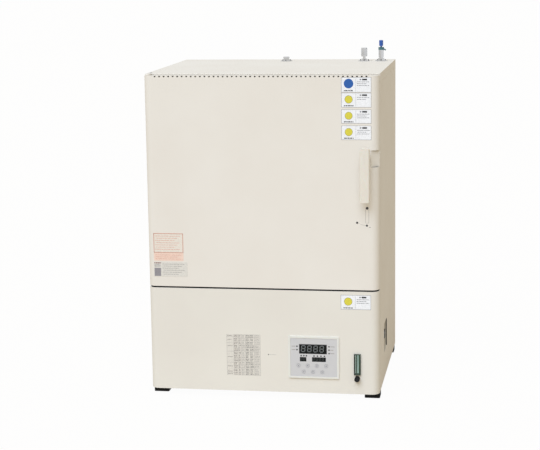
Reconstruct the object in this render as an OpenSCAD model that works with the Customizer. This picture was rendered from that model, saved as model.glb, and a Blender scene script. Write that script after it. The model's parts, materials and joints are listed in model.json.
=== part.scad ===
// Bench-top inert gas oven: a forced-convection chamber over an instrument compartment.
// All lengths are millimetres. X runs to the right, Y to the back, Z up from the floor.
// Inside the modules y counts from the face of the door; place() moves it to the part's own frame.

/* [Cabinet] */
// Width over the side panels
body_w = 700; // [640:5:800]
// Depth from the face of the door to the back
body_d = 620; // [600:5:720]
// Height of the cabinet without its feet
body_h = 960; // [920:5:1100]
// Height of the instrument compartment
base_h = 316; // [290:2:330]
// Thickness of the painted sheet
sheet_t = 1.2; // [0.8:0.1:1.6]
// Thickness of the front frame and the deck
frame_t = 1.5; // [1:0.1:2]
// Radius of the upright front edges
edge_r = 24; // [16:1:26]
// Height of the top cover's skirt
skirt_h = 25; // [15:1:40]
// Width of the folded flanges
flange_w = 15; // [10:1:20]
// Height of the deck above the instrument compartment
deck_step = 9; // [7:0.5:14]
// Clearance where one sheet lies beside another
panel_gap = 0.3; // [0.2:0.1:0.5]

/* [Feet] */
// Width of a foot
foot_w = 46; // [36:1:50]
// Height of a foot
foot_h = 20; // [14:1:30]
// Distance of a foot's outer face from the side of the cabinet
foot_side = 1; // [0.5:0.5:40]
// Distance of the front feet behind the face of the door
foot_front = 34; // [30:1:60]
// Distance of the rear feet from the back
foot_back = 7; // [5:1:60]

/* [Door] */
// Depth of the door's folded edge
door_edge_d = 30; // [28:1:32]
// Space between the door's edge and the cabinet
door_space = 8; // [7:0.5:10]
// Depth of the gap at the sides of the lower front panel
seam_inset = 10; // [6:1:12]
// Gap between the door and the panel below it
door_gap = 5; // [4.5:0.1:8]
// Step from the top cover down to the top of the door
top_step = 3.5; // [3.3:0.1:6]
// Depth that the door's plug reaches into the chamber
plug_d = 40; // [24:1:60]
// Clearance round the plug
plug_gap = 8; // [6:0.5:14]
// Thickness of the door's inner pan
pan_t = 1; // [0.8:0.1:1.5]
// Width of the door gasket
gasket_w = 14; // [10:1:18]
// Number of vent holes along the top edge of the door
vent_count = 47; // [20:1:60]
// Diameter of a vent hole
vent_hole_d = 6; // [4:0.5:7]
// Distance of the first vent hole from the door's side
vent_side = 36; // [30:1:80]

/* [Hinges] */
// Distance of the hinge axis from the side of the cabinet
hinge_side = 10; // [9.5:0.1:12]
// Distance of the hinge axis behind the face of the door
hinge_back = 20; // [19:0.5:21]
// Diameter of the hinge pins
pin_d = 8; // [6:0.5:8]
// Length of a hinge pin inside its bush
pin_l = 14; // [10:1:20]
// Outer diameter of a hinge bush
bush_d = 13; // [12:0.5:14]
// Thickness of the hinge plates
hinge_plate_t = 3; // [2.5:0.1:3]
// Width of the hinge plates
hinge_plate_w = 15; // [13:0.5:16]
// Radial clearance of a pin or shaft in its bore
run_gap = 0.05; // [0.03:0.01:0.09]

/* [Handle and latch] */
// Distance of the handle's pivot from the side of the cabinet
handle_side = 38.5; // [36:0.5:44]
// Distance of the handle's pivot below the top of the door
handle_drop = 242.5; // [150:0.5:320]
// Width of the grip
grip_w = 29; // [24:1:34]
// Length of the grip
grip_l = 159; // [130:1:190]
// Thickness of the grip
grip_t = 16; // [12:1:18]
// Length of the grip above its pivot
grip_head = 35; // [24:1:40]
// Radius of the grip's large top corner
grip_crown_r = 12; // [6:1:14]
// Distance of the grip's outer face from the door
handle_proud = 42; // [36:1:55]
// Diameter of the grip's hub
hub_d = 22; // [18:1:24]
// Diameter of the collar on the door
collar_d = 28; // [24:1:29]
// Height of the collar on the door
collar_h = 6; // [4:0.5:10]
// Diameter of the spindle
spindle_d = 10; // [8:0.5:12]
// Reach of the tongue from the spindle's axis
tongue_r = 22; // [21:0.5:24]
// Width of the tongue
tongue_w = 12; // [10:1:13]
// Thickness of the tongue
tongue_t = 4; // [3:0.5:5]
// Height of the latch case
case_h = 50; // [40:1:56]
// Thickness of the latch case's wall
case_t = 2; // [1.5:0.1:2.5]

/* [Chamber] */
// Width inside the chamber
chamber_w = 450; // [380:5:460]
// Height inside the chamber
chamber_h = 450; // [380:5:460]
// Space behind the insulation for the fan motor and the gas pipes
rear_space = 95.2; // [90:0.2:120]
// Depth of the fan space behind the baffle
plenum_d = 45; // [42:1:50]
// Thickness of the chamber's sheet
chamber_t = 1.5; // [1:0.1:2]
// Radius of the chamber's long edges
chamber_r = 12; // [4:1:20]
// Width of the sealing flange round the mouth
seal_w = 28; // [26:1:34]
// Air space between the insulation and the side panels
side_space = 32; // [20:1:50]
// Thickness of the insulation behind the chamber
wool_back_t = 40; // [30:1:45]

/* [Shelves] */
// Number of rungs on each side
rung_count = 8; // [6:1:9]
// Height of the lowest rung above the chamber's floor
rung_z0 = 40; // [30:1:60]
// Distance of the highest rung below the chamber's roof
rung_top = 60; // [40:1:90]
// Rung that carries the lower shelf, counted from the bottom
lower_rung = 3; // [1:1:3]
// Rung that carries the upper shelf, counted from the bottom
upper_rung = 6; // [4:1:6]
// Width of a rung's ledge
rung_w = 16; // [13:1:18]
// Diameter of the shelf's frame rod
rod_d = 6; // [5:0.5:8]
// Diameter of the shelf's wires
wire_d = 3; // [2:0.5:4]
// Number of wires in a shelf
wire_count = 17; // [9:1:21]

/* [Fan and heaters] */
// Diameter of the impeller
fan_d = 180; // [140:5:190]
// Width of the impeller's blades
fan_w = 26; // [18:1:28]
// Number of blades
blade_count = 16; // [8:1:20]
// Diameter of the fan shaft
fan_shaft_d = 10; // [8:1:12]
// Diameter of the fan motor
motor_d = 90; // [70:2:110]
// Length of the fan motor
motor_l = 68; // [50:1:70]
// Diameter of the heater tube
heater_d = 8; // [6:0.5:9]
// Radius of the inner heater loop
heater_r = 112; // [102:1:120]
// Distance between the heater loops
heater_step = 20; // [14:1:26]

/* [Gas ports] */
// Distance of the right-hand port from the side of the cabinet
port_side = 40; // [34:1:60]
// Distance between the two ports on the right
port_step = 55; // [44:1:70]
// Diameter of a port flange
port_flange_d = 38; // [30:1:42]
// Thickness of a port flange
port_flange_t = 3; // [2:0.5:4]
// Outer diameter of the gas pipes
pipe_d = 12; // [10:0.5:14]
// Bend radius of the gas pipes
pipe_bend = 15; // [14:1:22]
// Diameter of the ribbed port cap
port_cap_d = 20.5; // [17:0.5:26]
// Height of the ribbed port cap
port_cap_h = 28; // [20:1:34]
// Diameter of the valve body
valve_d = 17; // [14:0.5:20]
// Diameter of the valve's knob
valve_knob_d = 13; // [10:0.5:16]
// Height of the valve's knob
valve_knob_h = 18; // [12:1:22]

/* [Control panel] */
// Width of the control panel's bezel
bezel_w = 154; // [150:1:170]
// Height of the control panel's bezel
bezel_h = 131; // [128:1:150]
// Distance of the bezel's right edge from the side of the cabinet
bezel_side = 119.5; // [100:0.5:180]
// Height of the bezel's lower edge above the bottom of the cabinet
bezel_z = 46; // [36:1:100]
// Width of the bezel's rim
bezel_rim = 6.5; // [4:0.5:7]
// Distance that the bezel stands proud of the panel
bezel_proud = 4; // [3.6:0.1:6]
// Depth of the controller behind the panel
controller_d = 60; // [40:1:90]
// Diameter of a key
key_d = 12.6; // [9:0.2:13.4]
// Travel of a key
key_travel = 0.6; // [0.3:0.1:0.8]
// Distance between keys
key_pitch = 28; // [25:0.5:29]
// Distance between the rows of keys
key_row_pitch = 19; // [16:0.5:20]

/* [Flowmeter] */
// Distance of the flowmeter's axis from the side of the cabinet
flow_side = 65; // [48:1:90]
// Width of the flowmeter block
flow_w = 19.6; // [16:0.2:22]
// Height of the visible tube block
flow_h = 64; // [50:1:90]
// Height of the visible block's lower edge above the bottom of the cabinet
flow_z = 61; // [50:1:100]
// Distance that the block stands proud of the panel
flow_proud = 6; // [4:0.5:12]
// Depth of the block behind the panel
flow_depth = 25; // [20:1:40]
// Diameter of the float
float_d = 4; // [3:0.2:5]
// Diameter of the flow knob
flow_knob_d = 16; // [12:0.5:18]
// Length of the flow knob
flow_knob_l = 16; // [10:1:22]
// Distance of the knob's axis below the visible block
flow_knob_drop = 11; // [9.5:0.5:16]

/* [Mains breaker] */
// Depth of the recess in the right-hand side
recess_d = 28; // [20:1:40]
// Length of the recess from front to back
recess_l = 104; // [80:1:140]
// Height of the recess
recess_h = 92; // [78:1:110]
// Distance of the recess's middle from the door's face
recess_y = 230; // [120:1:300]
// Height of the recess's middle above the bottom of the cabinet
recess_z = 127; // [70:1:200]
// Swing of the toggle
toggle_swing = 30; // [20:1:40]

/* [Rear connections] */
// Distance that the gas inlet stands out of the back
inlet_l = 42; // [30:1:50]
// Height of the rear connections above the bottom of the cabinet
inlet_z = 90; // [50:1:200]
// Distance of the gas inlet from the side of the cabinet
inlet_side = 110; // [60:1:200]
// Distance of the cable gland from the side of the cabinet
gland_side = 190; // [120:1:280]

/* [Hidden] */
$fn = 48;

cream = [0.89, 0.86, 0.80];
steel = [0.72, 0.73, 0.74];
dark = [0.12, 0.12, 0.13];

over = 0.5;
vent_bore_l = 16;
tray_h = 20;
foot_neck = 2;
foot_r = 4;
half_w = body_w / 2;
inner_x = half_w - sheet_t - panel_gap;
front_y = -(handle_proud + body_d + inlet_l) / 2 + handle_proud;

floor_z = foot_h;
top_z = foot_h + body_h;
seam_z = top_z - skirt_h;
base_top = foot_h + base_h;
door_z0 = base_top + door_gap;
door_z1 = top_z - top_step;
door_h = door_z1 - door_z0;

shell_y = door_edge_d + door_space;
frame_y = shell_y + sheet_t + panel_gap;
frame_back = frame_y + frame_t;
back_in = body_d - sheet_t - panel_gap;
frame_top = door_z1 + 0.2;

chamber_z = (door_z0 + door_z1) / 2 - chamber_h / 2;
mid_z = chamber_z + chamber_h / 2;
seal_y = frame_y - chamber_t;
wool_back = body_d - rear_space;
wool_in_back = wool_back - wool_back_t;
chamber_back = wool_in_back - panel_gap - chamber_t;
baffle_y = chamber_back - plenum_d;
wool_y = frame_back + panel_gap;
wool_x = inner_x - side_space;
deck_top = base_top + deck_step;
wool_z0 = deck_top + panel_gap;
wool_z1 = frame_top - frame_t - panel_gap;

plug_w = chamber_w - 2 * plug_gap;
plug_h = chamber_h - 2 * plug_gap;
pan_y = door_edge_d - pan_t;
plug_y = door_edge_d + plug_d;

hinge_x = -half_w + hinge_side;
lower_plate_z = base_top + (door_gap - hinge_plate_t) / 2 - 0.2;
upper_plate_z = top_z - hinge_plate_t;

latch_x = half_w - handle_side;
latch_z = door_z1 - handle_drop;
tongue_y = pan_y - 1.5 - tongue_t;
bearing_t = 6;
spindle_in = 12;
keeper_lip_t = 3;
keeper_lip_y = tongue_y - 1 - keeper_lip_t;
keeper_stem_t = 4;
keeper_stem_x = latch_x + tongue_r + 2.5;
keeper_plate_t = 3;
keeper_z0 = latch_z - tongue_w;
keeper_h = tongue_w + 5;

inlet_hole_d = 10;
inlet_hole_step = 16;
fan_y = baffle_y + frame_t + 5;
shaft_end = wool_back + motor_l * 0.6;
port_y = wool_back + panel_gap + pipe_bend;
port_x = [0, half_w - port_side - port_step, half_w - port_side];
pipe_in_side = 60;
pipe_in_drop = [30, 40, 80];
pipe_in_x = [0, chamber_w / 2 - pipe_in_side, chamber_w / 2 - pipe_in_side];
pipe_in_z = [for (drop = pipe_in_drop) chamber_z + chamber_h - drop];
pipe_bore = pipe_d - 3;
pipe_bore_l = 30;
stem_d = 9;
cap_lift = 12;
stem_l = cap_lift + port_cap_h - 6;
cap_z = top_z + port_flange_t + cap_lift;
valve_h = 33;
valve_nut_h = 9;
valve_neck_h = 4;
valve_stem_d = 6;
sensor_side = 60;
sensor_x = -chamber_w / 2 + sensor_side;
sensor_z = chamber_z + chamber_h - sensor_side;
sensor_d = 5;
heater_leg_d = heater_d - 1.5;
heater_leg_x = 16;
tail_l = 10;
hinge_tail = 40;

rung_t = 3;
rung_over = 14;
rung_pitch = (chamber_h - rung_z0 - rung_top) / (rung_count - 1);
rail_t = 4;
rail_w = 12;
rail_over = 15;
rail_y = [plug_y + 40, baffle_y - 50];
shelf_inset = 2;
sensor_reach = 40;
roof_flange = 45;

face_z0 = floor_z + bezel_z + bezel_rim;
face_w = bezel_w - 2 * bezel_rim;
face_h = bezel_h - 2 * bezel_rim;
face_mid_x = half_w - bezel_side - bezel_w / 2;
face_y = -bezel_proud + 1;
face_t = 1.6;
case_y = face_y + face_t + 0.1;
key_points = [
    for (i = [0 : 3]) [face_mid_x - 4.5 + (i - 1.5) * key_pitch, face_z0 + 33],
    for (i = [0 : 2]) [face_mid_x - 2.5 + (i - 1) * key_pitch, face_z0 + 33 - key_row_pitch]
];
window_x = -43;
window_z = 70;
small_window_z = 46;
windows = [
    [face_mid_x + window_x, face_z0 + window_z, 81, 27],
    [face_mid_x + window_x + 1, face_z0 + small_window_z, 19.5, 12.5],
    [face_mid_x - 5, face_z0 + small_window_z, 40.5, 13]
];
lamp_d = 3;
lamp_step = 10.5;
lamp_side = 48.5;
lamp_z = 93;
lamp_row_z = 63.7;
lamp_points = [
    for (i = [0 : 1]) [face_mid_x - lamp_side - 2, face_z0 + lamp_z - 0.5 - lamp_step * i],
    for (i = [0 : 2]) [face_mid_x + lamp_side - 2, face_z0 + lamp_z + 0.5 - lamp_step * i],
    for (i = [0 : 2]) [face_mid_x - 38 + 8 * i, face_z0 + lamp_row_z],
    for (i = [0 : 3]) [face_mid_x + 1 + lamp_step * i, face_z0 + lamp_row_z]
];

flow_x = half_w - flow_side;
flow_z0 = floor_z + flow_z;
flow_knob_z = flow_z0 - flow_knob_drop;
flow_stem_d = 5;
float_bore_d = float_d + 0.4;
float_z = flow_z0 + 9;

recess_wall = 1.5;
recess_floor_x = half_w - recess_d;
breaker_z = floor_z + recess_z;
breaker_l = 54;
breaker_h = 72;
breaker_t = 15;
toggle_x = recess_floor_x + breaker_t - 3;
inlet_stem_d = 12;
gland_stem_d = 22;
gland_bore = 11;
toggle_pin_d = 4;
toggle_pin_l = 24;
toggle_w = 16;

// Moves y from the door's face to the part's own frame
module place() {
    translate([0, front_y, 0]) children();
}

// A block between two corners
module block(a, b) {
    translate(a) cube(b - a);
}

// A round bar along Y
module bar_y(d, x, z, y0, y1) {
    translate([x, y0, z]) rotate([-90, 0, 0]) cylinder(d = d, h = y1 - y0);
}

// Plan outline with two rounded front corners; the front lies on y = 0
module front_outline(w, d, r) {
    translate([-w / 2 + r, 0]) square([w - 2 * r, d]);
    translate([-w / 2, r]) square([w, d - r]);
    for (side = [-1, 1]) translate([side * (w / 2 - r), r]) intersection() {
        circle(r);
        translate([-r, -r]) square([2 * r, r]);
    }
}

// Rectangle with round corners, centred
module round_rect(w, h, r) {
    square([w - 2 * r, h], center = true);
    square([w, h - 2 * r], center = true);
    for (sx = [-1, 1]) {
        for (sz = [-1, 1]) translate([sx * (w / 2 - r), sz * (h / 2 - r)]) circle(r);
    }
}

// The chamber's section, grown by t on every side
module chamber_outline(t) {
    round_rect(chamber_w + 2 * t, chamber_h + 2 * t, chamber_r + t);
}

// An upright plate, drawn in X and Z, that is thick from y0 to y1
module upright(y0, y1) {
    translate([0, y1, 0]) rotate([90, 0, 0]) linear_extrude(y1 - y0) children();
}

// A sheet pan with rounded upright edges, open at the back
module rounded_pan(z0, z1, d) {
    translate([0, 0, z0]) linear_extrude(z1 - z0) difference() {
        front_outline(body_w, d, edge_r);
        translate([0, sheet_t]) front_outline(body_w - 2 * sheet_t, d, edge_r - sheet_t);
    }
    for (z = [z0, z1 - sheet_t]) translate([0, 0, z]) linear_extrude(sheet_t)
        front_outline(body_w, d, edge_r);
}

module base_tray() color(cream) place() {
    y0 = shell_y + sheet_t + panel_gap;
    y1 = back_in - sheet_t - panel_gap;
    difference() {
        block([-inner_x, y0, floor_z], [inner_x, y1, floor_z + tray_h]);
        block([-inner_x + sheet_t, y0 + sheet_t, floor_z + sheet_t],
              [inner_x - sheet_t, y1 - sheet_t, floor_z + tray_h + over]);
        for (i = [-3 : 3]) {
            for (y = [0.35, 0.65]) translate([i * body_w / 10, body_d * y, floor_z])
                cube([8, 60, 3 * sheet_t], center = true);
        }
    }
}

// One side panel of folded sheet with a joggled top edge; side is -1 for left and 1 for right
module side_panel(side) {
    mirror([side < 0 ? 1 : 0, 0, 0]) {
        z1 = seam_z - panel_gap;
        block([half_w - sheet_t, shell_y, floor_z], [half_w, body_d, z1]);
        block([half_w - flange_w, shell_y, floor_z], [half_w, shell_y + sheet_t, z1]);
        block([half_w - flange_w, back_in - sheet_t, floor_z], [half_w, back_in, z1]);
        block([inner_x - sheet_t, shell_y + sheet_t + 2, z1 - sheet_t], [half_w, back_in - 2, z1]);
        block([inner_x - sheet_t, shell_y + sheet_t + 2, z1 - sheet_t],
              [inner_x, back_in - 2, z1 + skirt_h * 0.6]);
    }
}

module left_side() color(cream) place() side_panel(-1);

module right_side() color(cream) place() difference() {
    side_panel(1);
    block([half_w - 2 * flange_w, recess_y - recess_l / 2 - panel_gap, breaker_z - recess_h / 2 - panel_gap],
          [half_w + over, recess_y + recess_l / 2 + panel_gap, breaker_z + recess_h / 2 + panel_gap]);
}

module top_cover() color(cream) place() difference() {
    union() {
        difference() {
            block([-half_w, shell_y, seam_z], [half_w, body_d, top_z]);
            block([-half_w + sheet_t, shell_y - over, seam_z - over],
                  [half_w - sheet_t, body_d - sheet_t, top_z - sheet_t]);
        }
        block([-inner_x, shell_y, door_z1 + 0.5], [inner_x, shell_y + sheet_t, top_z]);
        block([-inner_x, shell_y, door_z1 + 0.5], [inner_x, shell_y + flange_w, door_z1 + 0.5 + sheet_t]);
    }
    block([hinge_x - hinge_plate_w / 2 - panel_gap, shell_y - over, door_z1],
          [hinge_x + hinge_plate_w / 2 + panel_gap, shell_y + hinge_tail + panel_gap, top_z + over]);
    for (x = port_x) translate([x, port_y, seam_z]) cylinder(d = pipe_d + 1, h = 2 * skirt_h);
}

module back_panel() color(cream) place() difference() {
    block([-inner_x, body_d - sheet_t, floor_z], [inner_x, body_d, seam_z - panel_gap]);
    for (row = [0 : 9]) {
        for (col = [-2 : 2]) translate([col * 60, body_d, mid_z - 67 + row * 15])
            cube([44, 10, 5], center = true);
    }
    for (row = [0 : 5]) {
        for (col = [-1, 0, 1]) {
            translate([-half_w * 0.45 + col * 60, body_d, floor_z + inlet_z + 20 + row * 15])
                cube([44, 10, 5], center = true);
        }
    }
    bar_y(inlet_stem_d + 2 * panel_gap, half_w - inlet_side, floor_z + inlet_z, body_d - 10, body_d + over);
    bar_y(gland_stem_d + 2 * panel_gap, half_w - gland_side, floor_z + inlet_z, body_d - 10, body_d + over);
}

module front_frame() color(cream) place() {
    difference() {
        block([-inner_x, frame_y, base_top - flange_w], [inner_x, frame_back, frame_top]);
        translate([0, 0, mid_z]) upright(frame_y - over, frame_back + over)
            chamber_outline(chamber_t + panel_gap);
    }
    block([-inner_x + 2, frame_y, frame_top - frame_t], [inner_x - 2, frame_y + roof_flange, frame_top]);
}

module deck() color(steel) place() {
    y0 = frame_back + panel_gap;
    y1 = back_in - sheet_t - panel_gap;
    block([-inner_x, y0, deck_top - frame_t], [inner_x, y1, deck_top]);
    for (y = [y0, y1 - frame_t]) {
        block([-inner_x, y, deck_top - flange_w], [inner_x, y + frame_t, deck_top]);
    }
    for (s = [-1, 1]) translate([s * (inner_x - frame_t / 2), (y0 + y1) / 2, deck_top - flange_w / 2])
        cube([frame_t, y1 - y0, flange_w], center = true);
}

// Pan of the lower front; behind its sides a return leaves the same gap as beside the door
module lower_front_panel() color(cream) place() {
    z0 = floor_z + 0.5;
    difference() {
        rounded_pan(z0, base_top, door_edge_d);
        translate([face_mid_x, 0, face_z0 + face_h / 2])
            cube([face_w + 2 * panel_gap, 10, face_h + 2 * panel_gap], center = true);
        block([flow_x - flow_w / 2 - panel_gap, -5, flow_z0 - panel_gap],
              [flow_x + flow_w / 2 + panel_gap, 5, flow_z0 + flow_h + panel_gap]);
        bar_y(flow_stem_d + 2, flow_x, flow_knob_z, -5, 5);
    }
    difference() {
        union() {
            block([-half_w + over, door_edge_d - sheet_t, z0], [half_w - over, door_edge_d, base_top]);
            block([-half_w + seam_inset, door_edge_d - sheet_t, z0],
                  [half_w - seam_inset, shell_y - panel_gap, base_top]);
        }
        block([-half_w + seam_inset + sheet_t, door_edge_d - 2 * sheet_t, z0 + sheet_t],
              [half_w - seam_inset - sheet_t, shell_y, base_top - sheet_t]);
    }
}

module chamber() color(steel) place() difference() {
    translate([0, 0, mid_z]) upright(seal_y, chamber_back + chamber_t) chamber_outline(chamber_t);
    translate([0, 0, mid_z]) upright(seal_y - over, chamber_back) chamber_outline(0);
    back_wall_holes(chamber_back - over, chamber_back + chamber_t + over);
}

// Flange round the mouth, on which the door's gasket closes
module seal_flange() color(steel) place() translate([0, 0, mid_z]) upright(seal_y, frame_y - 0.05)
    difference() {
    chamber_outline(seal_w);
    chamber_outline(chamber_t + 0.05);
}

// Holes for the fan shaft, gas pipes, heater ends and sensor
module back_wall_holes(y0, y1) {
    bar_y(fan_shaft_d + 3, 0, mid_z, y0, y1);
    for (i = [0 : 2]) bar_y(pipe_d + 2 * panel_gap, pipe_in_x[i], pipe_in_z[i], y0, y1);
    for (loop = [0, 1]) {
        for (s = [-1, 1]) bar_y(heater_leg_d + 2 * panel_gap, s * heater_leg_x, heater_leg_z(loop), y0, y1);
    }
    bar_y(sensor_d + 2 * panel_gap, sensor_x, sensor_z, y0, y1);
}

// Height of the legs of a heater loop, where they leave the ring
function heater_leg_z(loop) = mid_z - sqrt(pow(heater_r + loop * heater_step, 2) - pow(heater_leg_x, 2));

// Five slabs of wool: two at the sides, one above, one below and one behind the chamber
module insulation() color([0.85, 0.82, 0.70]) place() {
    in_x = chamber_w / 2 + chamber_t + panel_gap;
    in_z0 = chamber_z - chamber_t - panel_gap;
    in_z1 = chamber_z + chamber_h + chamber_t + panel_gap;
    y1 = wool_in_back - panel_gap;
    for (s = [0, 1]) mirror([s, 0, 0]) block([in_x, wool_y, wool_z0], [wool_x, y1, wool_z1]);
    block([panel_gap - in_x, wool_y, wool_z0], [in_x - panel_gap, y1, in_z0]);
    block([panel_gap - in_x, wool_y, in_z1], [in_x - panel_gap, y1, wool_z1]);
    difference() {
        block([-wool_x, wool_in_back, wool_z0], [wool_x, wool_back, wool_z1]);
        back_wall_holes(wool_in_back - over, wool_back + over);
    }
}

// Two punched ladders that carry the shelves
module shelf_rails() color(steel) place() for (s = [0, 1]) mirror([s, 0, 0]) {
    wall = chamber_w / 2 - panel_gap;
    z1 = chamber_z + chamber_h - rung_top + rail_over;
    for (y = rail_y) block([wall - rail_t, y - rail_w / 2, chamber_z + chamber_r],
                           [wall, y + rail_w / 2, z1]);
    for (i = [0 : rung_count - 1]) {
        z = chamber_z + rung_z0 + i * rung_pitch;
        block([wall - rung_w, rail_y[0] - rung_over, z - rung_t],
              [wall - rail_t + over, rail_y[1] + rung_over, z]);
    }
}

// A wire shelf that rests on the rungs of one level
module wire_shelf(rung) {
    z = chamber_z + rung_z0 + (rung - 1) * rung_pitch + rod_d / 2 + 0.2;
    x1 = chamber_w / 2 - panel_gap - rung_w + rod_d / 2 + shelf_inset;
    y0 = rail_y[0] - 10;
    y1 = baffle_y - 12;
    cross_d = rod_d - 1;
    for (s = [-1, 1]) bar_y(rod_d, s * x1, z, y0 - rod_d, y1 + rod_d);
    wire_z = z + (cross_d + wire_d) / 2 - over;
    wire_step = 2 * x1 / (wire_count + 1);
    for (y = [y0, (y0 + y1) / 2, y1]) translate([-x1, y, z]) rotate([0, 90, 0])
        cylinder(d = cross_d, h = 2 * x1);
    for (i = [1 : wire_count]) bar_y(wire_d, -x1 + i * wire_step, wire_z, y0 - wire_d, y1 + wire_d);
}

module lower_shelf() color(steel) place() wire_shelf(lower_rung);

module upper_shelf() color(steel) place() wire_shelf(upper_rung);

module fan_baffle() color(steel) place() difference() {
    translate([0, 0, mid_z]) upright(baffle_y, baffle_y + frame_t)
        round_rect(chamber_w - 2 * panel_gap, chamber_h - 2 * panel_gap, chamber_r);
    bar_y(inlet_hole_d, 0, mid_z, baffle_y - over, baffle_y + frame_t + over);
    for (ring = [1 : 3]) {
        for (i = [0 : 6 * ring - 1]) {
            a = i * 60 / ring;
            x = ring * inlet_hole_step * cos(a);
            z = mid_z + ring * inlet_hole_step * sin(a);
            bar_y(inlet_hole_d, x, z, baffle_y - over, baffle_y + frame_t + over);
        }
    }
    for (s = [-1, 1]) {
        for (i = [-5 : 5]) translate([s * (chamber_w / 2 - 30), baffle_y, mid_z + i * chamber_h / 13])
            cube([8, 10, 24], center = true);
    }
    bar_y(sensor_d + 2 * panel_gap, sensor_x, sensor_z, baffle_y - over, baffle_y + frame_t + over);
}

module fan_impeller() color(steel) place() translate([0, fan_y, mid_z]) rotate([-90, 0, 0]) {
    difference() {
        union() {
            translate([0, 0, fan_w]) cylinder(d = fan_d, h = 2);
            cylinder(d = fan_shaft_d + 16, h = fan_w + 8);
        }
        translate([0, 0, -over]) cylinder(d = fan_shaft_d, h = fan_w + 10);
    }
    difference() {
        cylinder(d = fan_d, h = 1.5);
        translate([0, 0, -over]) cylinder(d = fan_d * 0.76, h = 3);
    }
    for (i = [0 : blade_count - 1]) rotate(i * 360 / blade_count)
        translate([fan_d * 0.43, 0, fan_w / 2 + 0.5]) rotate(32)
            cube([fan_d * 0.13, 1.6, fan_w - 0.4], center = true);
}

module fan_shaft() color(steel) place() bar_y(fan_shaft_d, 0, mid_z, fan_y - 4, shaft_end);

module fan_motor() color(dark) place() difference() {
    union() {
        bar_y(motor_d, 0, mid_z, wool_back + panel_gap, wool_back + motor_l);
        bar_y(motor_d + 30, 0, mid_z, wool_back + panel_gap, wool_back + 3);
        for (i = [0 : 23]) translate([0, wool_back + motor_l * 0.5, mid_z]) rotate([0, i * 15, 0])
            translate([motor_d / 2, 0, 0]) cube([8, motor_l * 0.7, 2], center = true);
    }
    bar_y(fan_shaft_d + 2 * run_gap, 0, mid_z, wool_back - over, shaft_end + 1);
}

module heater_loops() color([0.45, 0.43, 0.40]) place() for (loop = [0, 1]) {
    r = heater_r + loop * heater_step;
    y = (baffle_y + chamber_back) / 2;
    translate([0, y, mid_z]) rotate([90, 0, 0]) rotate_extrude() translate([r, 0])
        circle(d = heater_d, $fn = 24);
    for (s = [-1, 1]) bar_y(heater_leg_d, s * heater_leg_x, heater_leg_z(loop), y, wool_back + tail_l);
}

module temperature_sensor() color(steel) place() {
    bar_y(sensor_d, sensor_x, sensor_z, baffle_y - sensor_reach, wool_back + tail_l);
    translate([sensor_x, wool_back + panel_gap, sensor_z]) rotate([-90, 0, 0])
        cylinder(d = 14, h = 8, $fn = 6);
}

// A quarter bend of pipe round the centre c, from the side u to the side v
module pipe_elbow(c, u, v) {
    w = cross(u, v);
    turn = [[u.x, v.x, w.x, 0], [u.y, v.y, w.y, 0], [u.z, v.z, w.z, 0], [0, 0, 0, 1]];
    translate(c) multmatrix(turn)
        rotate_extrude(angle = 90) translate([pipe_bend, 0]) circle(d = pipe_d);
}

// A pipe from a port down, then forward into the chamber's back wall
module gas_pipe(x, x_in, z) {
    difference() {
        translate([x, port_y, z + pipe_bend]) cylinder(d = pipe_d, h = top_z + port_flange_t - z - pipe_bend);
        translate([x, port_y, top_z - pipe_bore_l]) cylinder(d = pipe_bore, h = 2 * pipe_bore_l);
    }
    if (x > x_in) {
        pipe_elbow([x - pipe_bend, port_y, z + pipe_bend], [1, 0, 0], [0, 0, -1]);
        translate([x_in + pipe_bend, port_y, z]) rotate([0, 90, 0])
            cylinder(d = pipe_d, h = x - x_in - 2 * pipe_bend);
        pipe_elbow([x_in + pipe_bend, port_y - pipe_bend, z], [0, 1, 0], [-1, 0, 0]);
    } else {
        pipe_elbow([x, port_y - pipe_bend, z + pipe_bend], [0, 1, 0], [0, 0, -1]);
    }
    bar_y(pipe_d, x_in, z, chamber_back - 4, port_y - pipe_bend);
}

module gas_pipes() color(steel) place() for (i = [0 : 2]) gas_pipe(port_x[i], pipe_in_x[i], pipe_in_z[i]);

module port_flanges() color(steel) place() for (x = port_x) translate([x, port_y, top_z]) difference() {
    union() {
        cylinder(d = port_flange_d, h = port_flange_t - 0.8);
        cylinder(d = port_flange_d - 2, h = port_flange_t);
    }
    translate([0, 0, -over]) cylinder(d = pipe_d + 2 * panel_gap, h = 2 * port_flange_t + over);
}

// A low blanking cap with a grip groove
module middle_port_cap() color(steel) place()
    translate([port_x[0], port_y, top_z + port_flange_t]) difference() {
    union() {
        cylinder(d = pipe_d + 9, h = 10);
        translate([0, 0, 10]) cylinder(d1 = pipe_d + 9, d2 = pipe_d + 5, h = 2);
    }
    translate([0, 0, 4]) ring(pipe_d + 12, pipe_d + 6.5, 2.5);
}

// A flat ring from its outer and inner diameters
module ring(d1, d2, h) {
    difference() {
        cylinder(d = d1, h = h);
        translate([0, 0, -over]) cylinder(d = d2, h = h + 2 * over);
    }
}

// Threaded stem that carries the ribbed cap
module port_stem() color(steel) place() translate([port_x[1], port_y, top_z + port_flange_t]) {
    cylinder(d = pipe_d + 5, h = 5, $fn = 6);
    cylinder(d = stem_d, h = stem_l);
}

module port_cap() color(steel) place() translate([port_x[1], port_y, cap_z]) difference() {
    union() {
        cylinder(d = port_cap_d - 1.5, h = 2);
        translate([0, 0, 2]) cylinder(d = port_cap_d, h = port_cap_h - 4);
        translate([0, 0, port_cap_h - 2]) cylinder(d = port_cap_d - 1.5, h = 2);
    }
    translate([0, 0, -over]) cylinder(d = stem_d + 2 * run_gap, h = stem_l - cap_lift + over + 1);
    for (i = [0 : 17]) rotate(i * 20) translate([port_cap_d / 2 + 0.4, 0, 4])
        cylinder(d = 2, h = port_cap_h - 8, $fn = 16);
    for (z = [0.36, 0.68]) translate([0, 0, port_cap_h * z]) ring(port_cap_d + 4, port_cap_d - 2.4, 1.4);
}

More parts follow.
